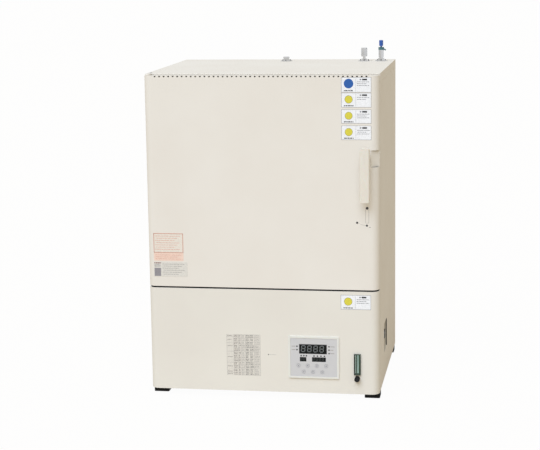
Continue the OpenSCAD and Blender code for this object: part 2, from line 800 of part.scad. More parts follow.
// Valve on the right-hand port: hexagon, neck and body
module valve_body() color(steel) place() translate([port_x[2], port_y, top_z + port_flange_t]) {
    cylinder(d = pipe_d + 8, h = 7, $fn = 6);
    translate([0, 0, 7]) cylinder(d = valve_d - 4, h = 3);
    translate([0, 0, 10]) cylinder(d = valve_d, h = valve_h - 10);
}

// Nut with a short arm that slants down to the right
module valve_nut() color([0.10, 0.30, 0.34]) place()
    translate([port_x[2], port_y, top_z + port_flange_t + valve_h]) difference() {
    union() {
        cylinder(d = valve_d + 1, h = valve_nut_h, $fn = 6);
        rotate([0, 28, 0]) translate([0, -3.5, valve_d * 0.26]) cube([valve_d * 0.82, 7, 4]);
    }
    translate([0, 0, -over]) cylinder(d = valve_stem_d + 2 * run_gap, h = valve_nut_h + 2 * over);
}

module valve_knob() color([0.10, 0.22, 0.50]) place()
    translate([port_x[2], port_y, top_z + port_flange_t + valve_h]) {
    z0 = valve_nut_h + valve_neck_h;
    translate([0, 0, 0.3]) cylinder(d = valve_stem_d, h = z0);
    difference() {
        union() {
            translate([0, 0, z0]) cylinder(d = valve_knob_d, h = valve_knob_h - 1.5);
            translate([0, 0, z0 + valve_knob_h - 1.5])
                cylinder(d1 = valve_knob_d, d2 = valve_knob_d - 3, h = 1.5);
        }
        for (i = [0 : 11]) rotate(i * 30) translate([valve_knob_d / 2 + 0.5, 0, z0 - over])
            cylinder(d = 2, h = valve_knob_h - 3, $fn = 16);
    }
}

// Hook that holds the tongue; its base plate lies on the flange of the right-hand side
module latch_keeper() color(steel) place() {
    z1 = keeper_z0 + keeper_h;
    x1 = keeper_stem_x + keeper_stem_t;
    block([keeper_stem_x - 14, shell_y - keeper_plate_t, keeper_z0 - 10],
          [keeper_stem_x + 8, shell_y, z1 + 10]);
    block([keeper_stem_x, keeper_lip_y, keeper_z0], [x1, shell_y, z1]);
    block([keeper_stem_x - 10, keeper_lip_y, keeper_z0], [x1, keeper_lip_y + keeper_lip_t, z1]);
}

// Flat plate with a round nose about the hinge axis and a pin that starts at pin_z0
module hinge_plate(z, pin_z0, back) {
    translate([hinge_x, hinge_back, z]) cylinder(d = hinge_plate_w, h = hinge_plate_t);
    block([hinge_x - hinge_plate_w / 2, hinge_back, z],
          [hinge_x + hinge_plate_w / 2, back, z + hinge_plate_t]);
    translate([hinge_x, hinge_back, pin_z0]) cylinder(d = pin_d, h = pin_l + hinge_plate_t);
}

module upper_hinge_plate() color(steel) place()
    hinge_plate(upper_plate_z, upper_plate_z - pin_l, shell_y + hinge_tail);

module lower_hinge_plate() color(steel) place() {
    x0 = hinge_x - hinge_plate_w / 2;
    hinge_plate(lower_plate_z, lower_plate_z, shell_y);
    block([x0, shell_y - 2.2, lower_plate_z], [x0 + hinge_plate_w, shell_y, lower_plate_z + 32]);
}

// Four square rubber blocks, each with a narrower neck below the cabinet
module feet() color(dark) place() for (s = [-1, 1]) {
    for (y = [foot_front + foot_w / 2, body_d - foot_back - foot_w / 2])
        translate([s * (half_w - foot_side - foot_w / 2), y, 0]) {
            linear_extrude(foot_h - foot_neck) round_rect(foot_w, foot_w, foot_r);
            linear_extrude(foot_h) round_rect(foot_w - 2 * foot_neck, foot_w - 2 * foot_neck, foot_r - 1);
        }
}

// Housing of the controller with its bezel, in one moulding
module controller_case() color(cream) place() {
    translate([face_mid_x, 0, face_z0 + face_h / 2]) difference() {
        union() {
            upright(-bezel_proud + 1, 0) round_rect(bezel_w, bezel_h, 3);
            upright(-bezel_proud, 0) round_rect(bezel_w - 2, bezel_h - 2, 3);
        }
        upright(-bezel_proud - over, over) square([face_w, face_h], center = true);
    }
    difference() {
        block([face_mid_x - face_w / 2, case_y, face_z0],
              [face_mid_x + face_w / 2, controller_d, face_z0 + face_h]);
        for (p = key_points) bar_y(key_d + 1, p.x, p.y, case_y - over, case_y + 1.6);
    }
}

module panel_face() color([0.78, 0.78, 0.79]) place() difference() {
    block([face_mid_x - face_w / 2 + 0.2, face_y, face_z0 + 0.2],
          [face_mid_x + face_w / 2 - 0.2, face_y + face_t, face_z0 + face_h - 0.2]);
    for (p = key_points) bar_y(key_d + 0.5, p.x, p.y, face_y - over, face_y + face_t + over);
    for (p = lamp_points) bar_y(lamp_d + 0.2, p.x, p.y, face_y - over, face_y + face_t + over);
    for (w = windows) {
        block([w[0] - 0.1, face_y - over, w[1] - 0.1],
              [w[0] + w[2] + 0.1, face_y + face_t + over, w[1] + w[3] + 0.1]);
    }
}

module display_windows() color([0.06, 0.06, 0.07]) place()
    for (w = windows) block([w[0], face_y + 0.2, w[1]], [w[0] + w[2], case_y, w[1] + w[3]]);

module indicator_lamps() color([0.30, 0.32, 0.30]) place()
    for (p = lamp_points) bar_y(lamp_d, p.x, p.y, face_y - 0.3, case_y);

// Round key that reaches from the panel face into its pocket
module key(i) color([0.74, 0.74, 0.75]) place()
    bar_y(key_d, key_points[i].x, key_points[i].y, face_y - 0.3, case_y + 0.7);

module key_1() key(0);
module key_2() key(1);
module key_3() key(2);
module key_4() key(3);
module key_5() key(4);
module key_6() key(5);
module key_7() key(6);

module flowmeter_body() color([0.55, 0.68, 0.58]) place() difference() {
    union() {
        block([flow_x - flow_w / 2, -flow_proud, flow_z0],
              [flow_x + flow_w / 2, sheet_t + 1, flow_z0 + flow_h]);
        block([flow_x - flow_w / 2, sheet_t + panel_gap, flow_knob_z - 10],
              [flow_x + flow_w / 2, flow_depth, flow_z0 + flow_h]);
    }
    translate([flow_x, 0, float_z]) cylinder(d = float_bore_d, h = flow_z0 + flow_h - 6 - float_z);
    bar_y(flow_stem_d + 2 * run_gap, flow_x, flow_knob_z, 0, 14);
}

module flowmeter_float() color(dark) place() translate([flow_x, 0, float_z + float_d / 2 + 0.2])
    sphere(d = float_d);

module flowmeter_knob() color(dark) place() difference() {
    union() {
        bar_y(flow_stem_d, flow_x, flow_knob_z, -3, 13);
        bar_y(flow_knob_d, flow_x, flow_knob_z, -flow_knob_l, -2);
        bar_y(flow_knob_d - 2, flow_x, flow_knob_z, -flow_knob_l - 1, -2);
    }
    for (i = [0 : 17]) translate([flow_x, 0, flow_knob_z]) rotate([0, i * 20, 0])
        translate([flow_knob_d / 2 + 0.5, -flow_knob_l - 2, 0]) rotate([-90, 0, 0])
            cylinder(d = 1.8, h = flow_knob_l - 2, $fn = 16);
}

module breaker_recess() color(dark) place() {
    y0 = recess_y - recess_l / 2;
    y1 = recess_y + recess_l / 2;
    z0 = breaker_z - recess_h / 2;
    z1 = breaker_z + recess_h / 2;
    difference() {
        block([recess_floor_x - recess_wall, y0, z0], [half_w - 0.4, y1, z1]);
        block([recess_floor_x, y0 + recess_wall, z0 + recess_wall],
              [half_w + over, y1 - recess_wall, z1 - recess_wall]);
    }
    difference() {
        block([inner_x - 3, y0 - 8, z0 - 8], [inner_x, y1 + 8, z1 + 8]);
        block([inner_x - 3 - over, y0 + over, z0 + over], [inner_x + over, y1 - over, z1 - over]);
    }
}

module breaker_body() color([0.16, 0.16, 0.17]) place() difference() {
    union() {
        block([recess_floor_x, recess_y - breaker_l / 2, breaker_z - breaker_h / 2],
              [recess_floor_x + breaker_t - 4, recess_y + breaker_l / 2, breaker_z + breaker_h / 2]);
        block([recess_floor_x, recess_y - breaker_l / 2, breaker_z - breaker_h / 4],
              [recess_floor_x + breaker_t, recess_y + breaker_l / 2, breaker_z + breaker_h / 4]);
    }
    block([recess_floor_x + 2, recess_y - toggle_w / 2 - panel_gap, breaker_z - 15],
          [recess_floor_x + breaker_t + over, recess_y + toggle_w / 2 + panel_gap, breaker_z + 15]);
    bar_y(toggle_pin_d + 2 * run_gap, toggle_x, breaker_z, recess_y - toggle_pin_l / 2 - 1,
          recess_y + toggle_pin_l / 2 + 1);
}

module breaker_toggle() color(dark) place() {
    bar_y(toggle_pin_d, toggle_x, breaker_z, recess_y - toggle_pin_l / 2, recess_y + toggle_pin_l / 2);
    translate([toggle_x, recess_y - toggle_w / 2, breaker_z]) rotate([0, -toggle_swing / 2, 0]) {
        rotate([-90, 0, 0]) cylinder(d = 9, h = toggle_w);
        translate([0, 0, -3]) cube([12, toggle_w, 6]);
        translate([12, 0, 0]) rotate([-90, 0, 0]) cylinder(d = 6, h = toggle_w);
    }
}

// Hose nozzle of the gas inlet: hexagon and three barbs
module gas_inlet() color(steel) place()
    translate([half_w - inlet_side, body_d, floor_z + inlet_z]) rotate([-90, 0, 0]) {
    translate([0, 0, -12]) cylinder(d = inlet_stem_d, h = 13);
    cylinder(d = 20, h = 9, $fn = 6);
    barb = (inlet_l - 12) / 3;
    translate([0, 0, 8]) cylinder(d = 7, h = 5);
    for (i = [0 : 2]) translate([0, 0, 12 + i * barb]) cylinder(d1 = 9.5, d2 = 7, h = barb);
}

// Cable gland: hexagon, dome nut and an open bore
module cable_gland() color(dark) place()
    translate([half_w - gland_side, body_d, floor_z + inlet_z]) rotate([-90, 0, 0]) difference() {
    union() {
        translate([0, 0, -14]) cylinder(d = gland_stem_d, h = 15);
        cylinder(d = 30, h = 7, $fn = 6);
        translate([0, 0, 7]) cylinder(d = 26, h = 11);
        translate([0, 0, 18]) cylinder(d1 = 26, d2 = 17, h = 7);
    }
    translate([0, 0, -15]) cylinder(d = gland_bore, h = 45);
}

// The vent holes are drilled through the upper front edge at half a right angle
module door_skin() color(cream) place() difference() {
    rounded_pan(door_z0, door_z1, door_edge_d);
    vent_step = (body_w - 2 * vent_side) / (vent_count - 1);
    for (i = [0 : vent_count - 1]) translate([-half_w + vent_side + vent_step * i, 0, door_z1])
        rotate([45, 0, 0]) cylinder(d = vent_hole_d, h = vent_bore_l, center = true);
    for (z = [door_z0, door_z1]) translate([hinge_x, hinge_back, z])
        cylinder(d = bush_d, h = 6, center = true);
    bar_y(spindle_d + 4, latch_x, latch_z, -over, 5);
    block([half_w - edge_r, -over, latch_z - case_h / 2],
          [half_w + over, door_edge_d - 1.5, latch_z + case_h / 2]);
}

// Mineral wool in the door and its plug, clear of the hinges and the latch
module door_core() color([0.85, 0.82, 0.70]) place() {
    x = latch_x - tongue_r - 6;
    block([-x, sheet_t + panel_gap, door_z0 + 20], [x, pan_y - panel_gap, door_z1 - 20]);
    block([-plug_w / 2 + 6, pan_y - panel_gap - 1, mid_z - plug_h / 2 + 6],
          [plug_w / 2 - 6, plug_y - pan_t - panel_gap, mid_z + plug_h / 2 - 6]);
}

module door_inner_pan() color(steel) place() difference() {
    union() {
        block([-half_w + sheet_t + panel_gap, pan_y, door_z0 + sheet_t + panel_gap],
              [half_w - sheet_t - panel_gap, door_edge_d, door_z1 - sheet_t - panel_gap]);
        translate([0, 0, mid_z]) upright(pan_y, plug_y) round_rect(plug_w, plug_h, chamber_r);
    }
    translate([0, 0, mid_z]) upright(pan_y - over, plug_y - pan_t)
        round_rect(plug_w - 2 * pan_t, plug_h - 2 * pan_t, chamber_r - pan_t);
    block([keeper_stem_x - 14, pan_y - over, keeper_z0 - 4],
          [half_w - 5, door_edge_d + over, keeper_z0 + keeper_h + 4]);
    for (z = [door_z0, door_z1]) translate([hinge_x, hinge_back, z])
        cube([bush_d + 4, 40, 2 * pin_l + 16], center = true);
}

module door_gasket() color([0.55, 0.28, 0.20]) place() translate([0, 0, mid_z]) {
    w = chamber_w + 2 * seal_w - 8;
    h = chamber_h + 2 * seal_w - 8;
    y1 = seal_y - 0.3;
    seal_ring(w, h, door_edge_d, door_edge_d + 3.5, gasket_w);
    seal_ring(w - gasket_w / 2, h - gasket_w / 2, door_edge_d + 3, y1, gasket_w / 2);
}

// A rectangular ring with round corners
module seal_ring(w, h, y0, y1, t) {
    upright(y0, y1) difference() {
        round_rect(w, h, chamber_r + seal_w - 4);
        round_rect(w - 2 * t, h - 2 * t, chamber_r + seal_w - 4 - t);
    }
}

// Flanged bushes in the bottom and top of the door
module hinge_bushes() color([0.75, 0.62, 0.30]) place() for (up = [0, 1]) {
    z0 = up == 0 ? lower_plate_z + hinge_plate_t + 0.3 : upper_plate_z - 0.3 - pin_l - 4;
    translate([hinge_x, hinge_back, z0]) difference() {
        cylinder(d = bush_d - 0.1, h = pin_l + 4);
        translate([0, 0, up == 0 ? -over : 3.5]) cylinder(d = pin_d + 2 * run_gap, h = pin_l + 1);
    }
}

// Latch case: a flat face across the door's round edge and a bearing plate for the spindle
module latch_case() color(cream) place() translate([0, 0, latch_z]) {
    h = case_h - 2 * panel_gap;
    x0 = half_w - edge_r + panel_gap;
    x1 = half_w - 0.2;
    translate([0, 0, -h / 2]) linear_extrude(h) polygon([
        [x0, 0.2], [x1, edge_r], [x1, door_edge_d - 1.8], [x1 - case_t, door_edge_d - 1.8],
        [x1 - case_t, edge_r + case_t * 0.4], [x0 - case_t * 0.4, case_t + 1], [x0 - 4, case_t + 1],
        [x0 - 4, sheet_t + 0.1], [x0, sheet_t + 0.1]
    ]);
    difference() {
        block([latch_x - 16, sheet_t + 0.1, -h / 2], [x0 - 3, sheet_t + 0.1 + bearing_t, h / 2]);
        bar_y(spindle_d + 2 * run_gap, latch_x, 0, 0, 20);
    }
}

module handle_collar() color(cream) place() difference() {
    union() {
        bar_y(collar_d, latch_x, latch_z, -collar_h + 1.5, 0);
        bar_y(collar_d - 3, latch_x, latch_z, -collar_h, 0);
    }
    bar_y(spindle_d + 2 * run_gap, latch_x, latch_z, -collar_h - over, over);
}

// Grip bar: its outline in front view, crossed with its rounded plan section
module handle_grip() color([0.90, 0.87, 0.82]) place() difference() {
    union() {
        intersection() {
            upright(-handle_proud, -handle_proud + grip_t) grip_outline();
            translate([latch_x, 0, latch_z + grip_head - grip_l - over])
                linear_extrude(grip_l + 2 * over) grip_section();
        }
        bar_y(hub_d, latch_x, latch_z, -handle_proud + grip_t - over, -collar_h - 0.3);
    }
    bar_y(spindle_d, latch_x, latch_z, -handle_proud + spindle_in, 0);
    translate([latch_x, -handle_proud, latch_z]) cube([3, 2, case_h * 0.6], center = true);
}

module grip_outline() {
    z1 = latch_z + grip_head;
    z0 = z1 - grip_l;
    x0 = latch_x - grip_w / 2;
    x1 = latch_x + grip_w / 2;
    low_r = 6;
    translate([x0 + low_r, z0]) square([grip_w - 2 * low_r, grip_l - grip_crown_r]);
    translate([x0, z0 + low_r]) square([grip_w, grip_l - low_r - grip_crown_r]);
    translate([x0 + grip_crown_r, z0 + low_r]) square([grip_w - grip_crown_r - low_r, grip_l - low_r]);
    translate([x0 + grip_crown_r, z0 + low_r]) square([grip_w - grip_crown_r, grip_l - 2 * low_r]);
    translate([x0 + low_r, z0 + low_r]) circle(low_r);
    translate([x1 - low_r, z0 + low_r]) circle(low_r);
    translate([x1 - low_r, z1 - low_r]) circle(low_r);
    translate([x0 + grip_crown_r, z1 - grip_crown_r]) circle(grip_crown_r);
}

module grip_section() {
    r = 5;
    translate([-grip_w / 2 + r, -handle_proud]) square([grip_w - 2 * r, grip_t]);
    translate([-grip_w / 2, -handle_proud + r]) square([grip_w, grip_t - r]);
    for (s = [-1, 1]) translate([s * (grip_w / 2 - r), -handle_proud + r]) circle(r);
}

// Spindle with the tongue welded to its end; at rest the tongue points up and to the right
module latch_spindle() color(steel) place() {
    bar_y(spindle_d, latch_x, latch_z, -handle_proud + spindle_in + 0.2, tongue_y + tongue_t);
    translate([latch_x, tongue_y, latch_z]) rotate([0, -45, 0]) {
        translate([0, 0, -tongue_w / 2]) cube([tongue_r - tongue_w / 2, tongue_t, tongue_w]);
        translate([tongue_r - tongue_w / 2, 0, 0]) rotate([-90, 0, 0]) cylinder(d = tongue_w, h = tongue_t);
        rotate([-90, 0, 0]) cylinder(d = spindle_d + 6, h = tongue_t);
    }
}

base_tray();
left_side();
right_side();
top_cover();
back_panel();
front_frame();
deck();
lower_front_panel();
chamber();
seal_flange();
insulation();
shelf_rails();
lower_shelf();
upper_shelf();
fan_baffle();
fan_motor();
heater_loops();
temperature_sensor();
gas_pipes();
port_flanges();
middle_port_cap();
port_stem();
valve_body();
valve_nut();
latch_keeper();
upper_hinge_plate();
lower_hinge_plate();
feet();
controller_case();
panel_face();
display_windows();
indicator_lamps();
flowmeter_body();
breaker_recess();
breaker_body();
gas_inlet();
cable_gland();
door_skin();
door_core();
door_inner_pan();
door_gasket();
hinge_bushes();
latch_case();
handle_collar();
handle_grip();
latch_spindle();
fan_impeller();
fan_shaft();
flowmeter_float();
flowmeter_knob();
breaker_toggle();
port_cap();
valve_knob();
key_1();
key_2();
key_3();
key_4();
key_5();
key_6();
key_7();
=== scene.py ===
# %% [markdown]
# A bench-top inert gas oven, dressed in Blender
#
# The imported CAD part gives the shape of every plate, pipe and pin in metres. This
# lesson loads it, gives each piece the finish of the real one, and adds what is too
# thin or too small for the CAD source: printed films, screws, segments and scales.

import json
import math
import random

import bmesh
import bpy
from mathutils import Matrix, Vector


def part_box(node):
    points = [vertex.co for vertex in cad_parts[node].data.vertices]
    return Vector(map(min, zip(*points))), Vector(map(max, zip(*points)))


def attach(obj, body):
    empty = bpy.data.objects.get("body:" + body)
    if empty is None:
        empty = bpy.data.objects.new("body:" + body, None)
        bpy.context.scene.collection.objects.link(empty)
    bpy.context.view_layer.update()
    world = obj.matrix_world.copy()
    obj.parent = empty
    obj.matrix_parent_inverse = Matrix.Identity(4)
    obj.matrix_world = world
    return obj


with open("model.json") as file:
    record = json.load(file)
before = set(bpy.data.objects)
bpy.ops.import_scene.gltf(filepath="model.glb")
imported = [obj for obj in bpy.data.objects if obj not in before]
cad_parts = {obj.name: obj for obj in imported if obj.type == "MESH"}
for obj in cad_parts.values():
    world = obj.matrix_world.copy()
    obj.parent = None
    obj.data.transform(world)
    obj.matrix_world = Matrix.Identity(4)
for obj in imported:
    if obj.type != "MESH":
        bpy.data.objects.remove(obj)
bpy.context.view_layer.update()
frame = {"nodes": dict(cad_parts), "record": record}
nodes = frame["nodes"]

# %% [markdown]
# The camera comes first, because everything else is seen through it. Its place was found by matching the
# corners of the cabinet to the photograph. It is built from a place, two turns and a small roll, which is
# easier to read than a full matrix.

# %% Camera
FRAME_WIDTH_PX = 540
FOCAL_PX = 1520.7
SENSOR_MM = 36
CAMERA_PLACE = Vector((0.7366, -4.7014, 1.3392))
YAW, PITCH, ROLL = (math.radians(a) for a in (9.197, 10.263, 0.790))

ahead = Vector((-math.sin(YAW) * math.cos(PITCH), math.cos(YAW) * math.cos(PITCH), -math.sin(PITCH)))
level = Vector((math.cos(YAW), math.sin(YAW), 0))
under = ahead.cross(level)
right = level * math.cos(ROLL) + under * math.sin(ROLL)
down = under * math.cos(ROLL) - level * math.sin(ROLL)

camera_data = bpy.data.cameras.new("photo_camera")
camera_data.sensor_width = SENSOR_MM
camera_data.lens = FOCAL_PX / FRAME_WIDTH_PX * SENSOR_MM
camera_data.clip_end = 300
camera = bpy.data.objects.new("photo_camera", camera_data)
camera.matrix_world = Matrix.Translation(CAMERA_PLACE) @ Matrix((right, -down, -ahead)).transposed().to_4x4()
bpy.context.scene.collection.objects.link(camera)
bpy.context.scene.camera = camera
print("lens", round(camera_data.lens, 1), "mm")

# %% [markdown]
# Every finish below starts from one Principled shader. Colours are written as they
# look on a screen, so a helper turns them into the linear values that Blender's
# shaders expect. What is the same all over a surface is set on the socket itself.
# The frame brings a plain stand-in for each slot, which gives up its name first.

# %% A finish and its colour
def linear(colour):
    """Screen colour, 0 to 255, as linear light."""
    parts = [c / 255 for c in colour]
    return tuple(p / 12.92 if p <= 0.04045 else ((p + 0.055) / 1.055) ** 2.4 for p in parts) + (1.0,)


def finish(name, colour, roughness, metallic=0.0, **sockets):
    """A material with a Principled shader; extra sockets go by their names with underscores."""
    stand_in = bpy.data.materials.get(name)
    if stand_in:
        stand_in.name = name + "_stand_in"
    material = bpy.data.materials.new(name)
    material.use_nodes = True
    shader = material.node_tree.nodes["Principled BSDF"]
    shader.inputs["Base Color"].default_value = linear(colour)
    shader.inputs["Roughness"].default_value = roughness
    shader.inputs["Metallic"].default_value = metallic
    for socket, value in sockets.items():
        shader.inputs[socket.replace("_", " ")].default_value = value
    return material


# %% [markdown]
# Real surfaces are never quite even. A noise pattern on Object coordinates is the
# simplest honest detail: it stays fixed to the piece when the piece moves. One helper
# makes the pattern, and three more send it to the colour, the roughness or the relief.

# %% Patterns that vary a finish
def grain(material, scale, stretch=(1, 1, 1), detail=3.0):
    """A noise pattern of `scale` waves per metre; returns its output."""
    tree = material.node_tree
    place = tree.nodes.new("ShaderNodeTexCoord")
    spread = tree.nodes.new("ShaderNodeMapping")
    spread.inputs["Scale"].default_value = stretch
    pattern = tree.nodes.new("ShaderNodeTexNoise")
    pattern.inputs["Scale"].default_value = scale
    pattern.inputs["Detail"].default_value = detail
    tree.links.new(place.outputs["Object"], spread.inputs["Vector"])
    tree.links.new(spread.outputs["Vector"], pattern.inputs["Vector"])
    return pattern.outputs["Fac"]


def ranged(material, pattern, low, high):
    """The middle of a pattern spread between two values."""
    tree = material.node_tree
    spread = tree.nodes.new("ShaderNodeMapRange")
    spread.inputs["From Min"].default_value = 0.3
    spread.inputs["From Max"].default_value = 0.7
    spread.inputs["To Min"].default_value = low
    spread.inputs["To Max"].default_value = high
    tree.links.new(pattern, spread.inputs["Value"])
    return spread.outputs["Result"]


def mottle(material, pattern, one, other):
    """Colour that wanders between two screen colours."""
    tree = material.node_tree
    mix = tree.nodes.new("ShaderNodeMix")
    mix.data_type = "RGBA"
    mix.inputs["A"].default_value = linear(one)
    mix.inputs["B"].default_value = linear(other)
    tree.links.new(ranged(material, pattern, 0, 1), mix.inputs["Factor"])
    tree.links.new(mix.outputs["Result"], tree.nodes["Principled BSDF"].inputs["Base Color"])


def polish(material, pattern, low, high, socket="Roughness"):
    """Roughness, of the surface or of its coat, that wanders between two values."""
    shader = material.node_tree.nodes["Principled BSDF"]
    material.node_tree.links.new(ranged(material, pattern, low, high), shader.inputs[socket])


def relief(material, pattern, depth, strength=1.0):
    """Bumps of a depth in metres, added to any that are there already."""
    tree = material.node_tree
    normal = tree.nodes["Principled BSDF"].inputs["Normal"]
    bump = tree.nodes.new("ShaderNodeBump")
    bump.inputs["Distance"].default_value = depth
    bump.inputs["Strength"].default_value = strength
    tree.links.new(pattern, bump.inputs["Height"])
    if normal.links:
        tree.links.new(normal.links[0].from_socket, bump.inputs["Normal"])
    tree.links.new(bump.outputs["Normal"], normal)


# %% [markdown]
# The cabinet is steel sheet with a baked cream coat. Such a coat has a fine skin like
# orange peel, and the sheet under it is never perfectly flat. So it gets two reliefs,
# a fine one for the coat and a slow one for the sheet, and a faint drift of colour.

# %% Cream coat
CREAM = (234, 228, 218)
CREAM_SHADE = (231, 224, 213)


def coat(name, one, other):
    """Baked paint that drifts between two shades."""
    material = finish(name, one, 0.5, Specular_IOR_Level=0.0, Coat_Weight=0.12)
    mottle(material, grain(material, 5), one, other)
    polish(material, grain(material, 60), 0.3, 0.42, "Coat Roughness")
    relief(material, grain(material, 900, detail=2), 0.00006)
    return material


cream_paint = coat("cream_paint", CREAM, CREAM_SHADE)
relief(cream_paint, grain(cream_paint, 4, detail=1), 0.0006)
print("coat:", cream_paint.name)

# %% [markdown]
# The moulded pieces, such as the grip and the frame of the control panel, have nearly
# the same colour. Plastic scatters light inside itself and has a fine spark-eroded
# texture, so these two get a little subsurface light and a finer relief.

# %% Moulded cream plastics
grip_plastic = finish("grip_plastic", (229, 223, 210), 0.5, Subsurface_Weight=0.05, Specular_IOR_Level=0.2)
mottle(grip_plastic, grain(grip_plastic, 40), (229, 223, 210), (226, 219, 205))
relief(grip_plastic, grain(grip_plastic, 1500, detail=2), 0.00005)
panel_plastic = finish("panel_plastic", (230, 226, 217), 0.45, Subsurface_Weight=0.05, Specular_IOR_Level=0.3)
polish(panel_plastic, grain(panel_plastic, 300), 0.4, 0.52)
relief(panel_plastic, grain(panel_plastic, 1800, detail=2), 0.00004)
panel_film = finish("panel_film", (207, 205, 204), 0.5, Specular_IOR_Level=0.2)
mottle(panel_film, grain(panel_film, 700), (208, 206, 205), (204, 202, 201))
relief(panel_film, grain(panel_film, 2500, detail=1), 0.00003)
key_rubber = finish("key_rubber", (200, 198, 198), 0.6, Specular_IOR_Level=0.2)
mottle(key_rubber, grain(key_rubber, 500), (202, 200, 200), (196, 194, 194))
relief(key_rubber, grain(key_rubber, 2200, detail=2), 0.00004)

# %% [markdown]
# The chamber is stainless sheet with a rolled grain. Stretching the noise along one
# axis gives the fine lines, and it drives both the roughness and a very low relief.
# Each metal has its own size of grain: rolled, drawn, plated, cast or oxidised.

# %% Metals
stainless = finish("stainless", (196, 197, 198), 0.3, 1.0)
rolled = grain(stainless, 120, stretch=(1, 1, 25))
polish(stainless, rolled, 0.22, 0.42)
mottle(stainless, grain(stainless, 12), (198, 199, 200), (186, 186, 186))
relief(stainless, rolled, 0.00003)
bright_steel = finish("bright_steel", (205, 206, 208), 0.14, 1.0)
polish(bright_steel, grain(bright_steel, 400), 0.1, 0.2)
relief(bright_steel, grain(bright_steel, 700, stretch=(1, 1, 12)), 0.00002)
zinc_plate = finish("zinc_plate", (178, 181, 186), 0.38, 1.0)
mottle(zinc_plate, grain(zinc_plate, 220), (184, 187, 192), (165, 167, 168))
relief(zinc_plate, grain(zinc_plate, 800), 0.00004)
heater_sheath = finish("heater_sheath", (112, 104, 98), 0.55, 1.0)
mottle(heater_sheath, grain(heater_sheath, 90), (120, 112, 104), (78, 70, 66))
relief(heater_sheath, grain(heater_sheath, 1200), 0.00006)
bush_bronze = finish("bush_bronze", (178, 142, 88), 0.35, 1.0)
mottle(bush_bronze, grain(bush_bronze, 250), (182, 148, 94), (150, 116, 70))
relief(bush_bronze, grain(bush_bronze, 900), 0.00004)
print("metals made:", [m.name for m in (stainless, bright_steel, zinc_plate, heater_sheath, bush_bronze)])

# %% [markdown]
# The dark pieces differ mostly in how they shine. Rubber is dull and a little dusty,
# moulded switches are satin, and the window over the digits is like black glass.

# %% Dark finishes
foot_rubber = finish("foot_rubber", (18, 18, 19), 0.75, Specular_IOR_Level=0.2)
mottle(foot_rubber, grain(foot_rubber, 150), (15, 15, 16), (30, 29, 28))
relief(foot_rubber, grain(foot_rubber, 900), 0.00012)
black_plastic = finish("black_plastic", (22, 22, 24), 0.42, Specular_IOR_Level=0.2)
mottle(black_plastic, grain(black_plastic, 300), (19, 19, 21), (30, 30, 32))
relief(black_plastic, grain(black_plastic, 1600), 0.00006)
motor_enamel = finish("motor_enamel", (38, 39, 42), 0.5)
mottle(motor_enamel, grain(motor_enamel, 60), (36, 37, 40), (52, 53, 56))
relief(motor_enamel, grain(motor_enamel, 500), 0.0001)
display_glass = finish("display_glass", (10, 14, 12), 0.2, Specular_IOR_Level=0.12)
mottle(display_glass, grain(display_glass, 200), (8, 12, 10), (16, 20, 17))
lamp_lens = finish("lamp_lens", (34, 38, 36), 0.25, Specular_IOR_Level=0.3)
mottle(lamp_lens, grain(lamp_lens, 900), (30, 34, 32), (44, 48, 45))
float_ball = finish("float_ball", (18, 18, 20), 0.15, Coat_Weight=0.2)
mottle(float_ball, grain(float_ball, 900), (16, 16, 18), (30, 30, 32))

# %% [markdown]
# The coloured pieces are few: the enamel on the valve's nut, its blue knob, the red
# brown silicone of the door seal, the wool behind the sheets, and the flowmeter's
# clear block, which bends light as acrylic does and is faintly green at its edges.

# %% Coloured and clear finishes
teal_enamel = finish("teal_enamel", (40, 92, 98), 0.3, Coat_Weight=0.5)
mottle(teal_enamel, grain(teal_enamel, 200), (38, 88, 94), (52, 106, 110))
blue_plastic = finish("blue_plastic", (40, 84, 160), 0.4)
mottle(blue_plastic, grain(blue_plastic, 200), (38, 80, 156), (48, 94, 170))
relief(blue_plastic, grain(blue_plastic, 1500), 0.00005)
silicone = finish("silicone", (150, 82, 62), 0.6, Subsurface_Weight=0.05)
mottle(silicone, grain(silicone, 120), (152, 84, 64), (134, 70, 52))
relief(silicone, grain(silicone, 1000), 0.0001)
mineral_wool = finish("mineral_wool", (214, 206, 172), 0.95, Sheen_Weight=0.2)
mottle(mineral_wool, grain(mineral_wool, 260, stretch=(1, 6, 1)), (220, 213, 182), (186, 176, 140))
relief(mineral_wool, grain(mineral_wool, 500, stretch=(1, 5, 1)), 0.002)
clear_block = finish("clear_block", (62, 84, 70), 0.06, Transmission_Weight=0.2, IOR=1.49)
mottle(clear_block, grain(clear_block, 60), (62, 84, 70), (54, 74, 61))
polish(clear_block, grain(clear_block, 150), 0.03, 0.1)

# %% [markdown]
# The record says which finish each CAD node takes. Walking through that list, rather than naming every node
# here, means that no node can be forgotten. The print lists any node whose finish has no pattern.

# %% Give every CAD node its finish
slot_of = {entry["node"]: entry["material_slot"] for entry in frame["record"]["subparts"]}
for name, node in nodes.items():
    node.data.materials.clear()
    node.data.materials.append(bpy.data.materials[slot_of[name]])
plain = [name for name, node in nodes.items() if len(node.data.materials[0].node_tree.nodes) < 3]
print(len(nodes), "CAD nodes dressed with", len(set(slot_of.values())), "finishes; without a pattern:", plain)

# %% [markdown]
# Two nodes differ a little from the rest of the coat, and both differences are painted light. The lower panel
# is a shade darker than the door above it, painted shade for the dimmer light low on the front, and the
# recess of the breaker has a paler coat inside, painted light that lifts the shade in the recess.

# %% Two nodes with painted shade and painted light in their coats
# Painted shade on the lower panel and painted light in the breaker's recess
lower_painted_shade = coat("lower_painted_shade", (231, 226, 215), (228, 222, 211))
recess_painted_light = coat("recess_painted_light", (236, 229, 214), (232, 224, 208))
nodes["lower_front_panel"].data.materials[0] = lower_painted_shade
nodes["breaker_recess"].data.materials[0] = recess_painted_light
print("other coats:", lower_painted_shade.name, recess_painted_light.name)

# %% [markdown]
# Printed films are flat, so each one is a thin prism: an outline in X and Z that
# stands a fraction of a millimetre out of the plane behind it. The inks are thinner
# prisms on top of the film. One mesh holds film and inks, with a finish for each.

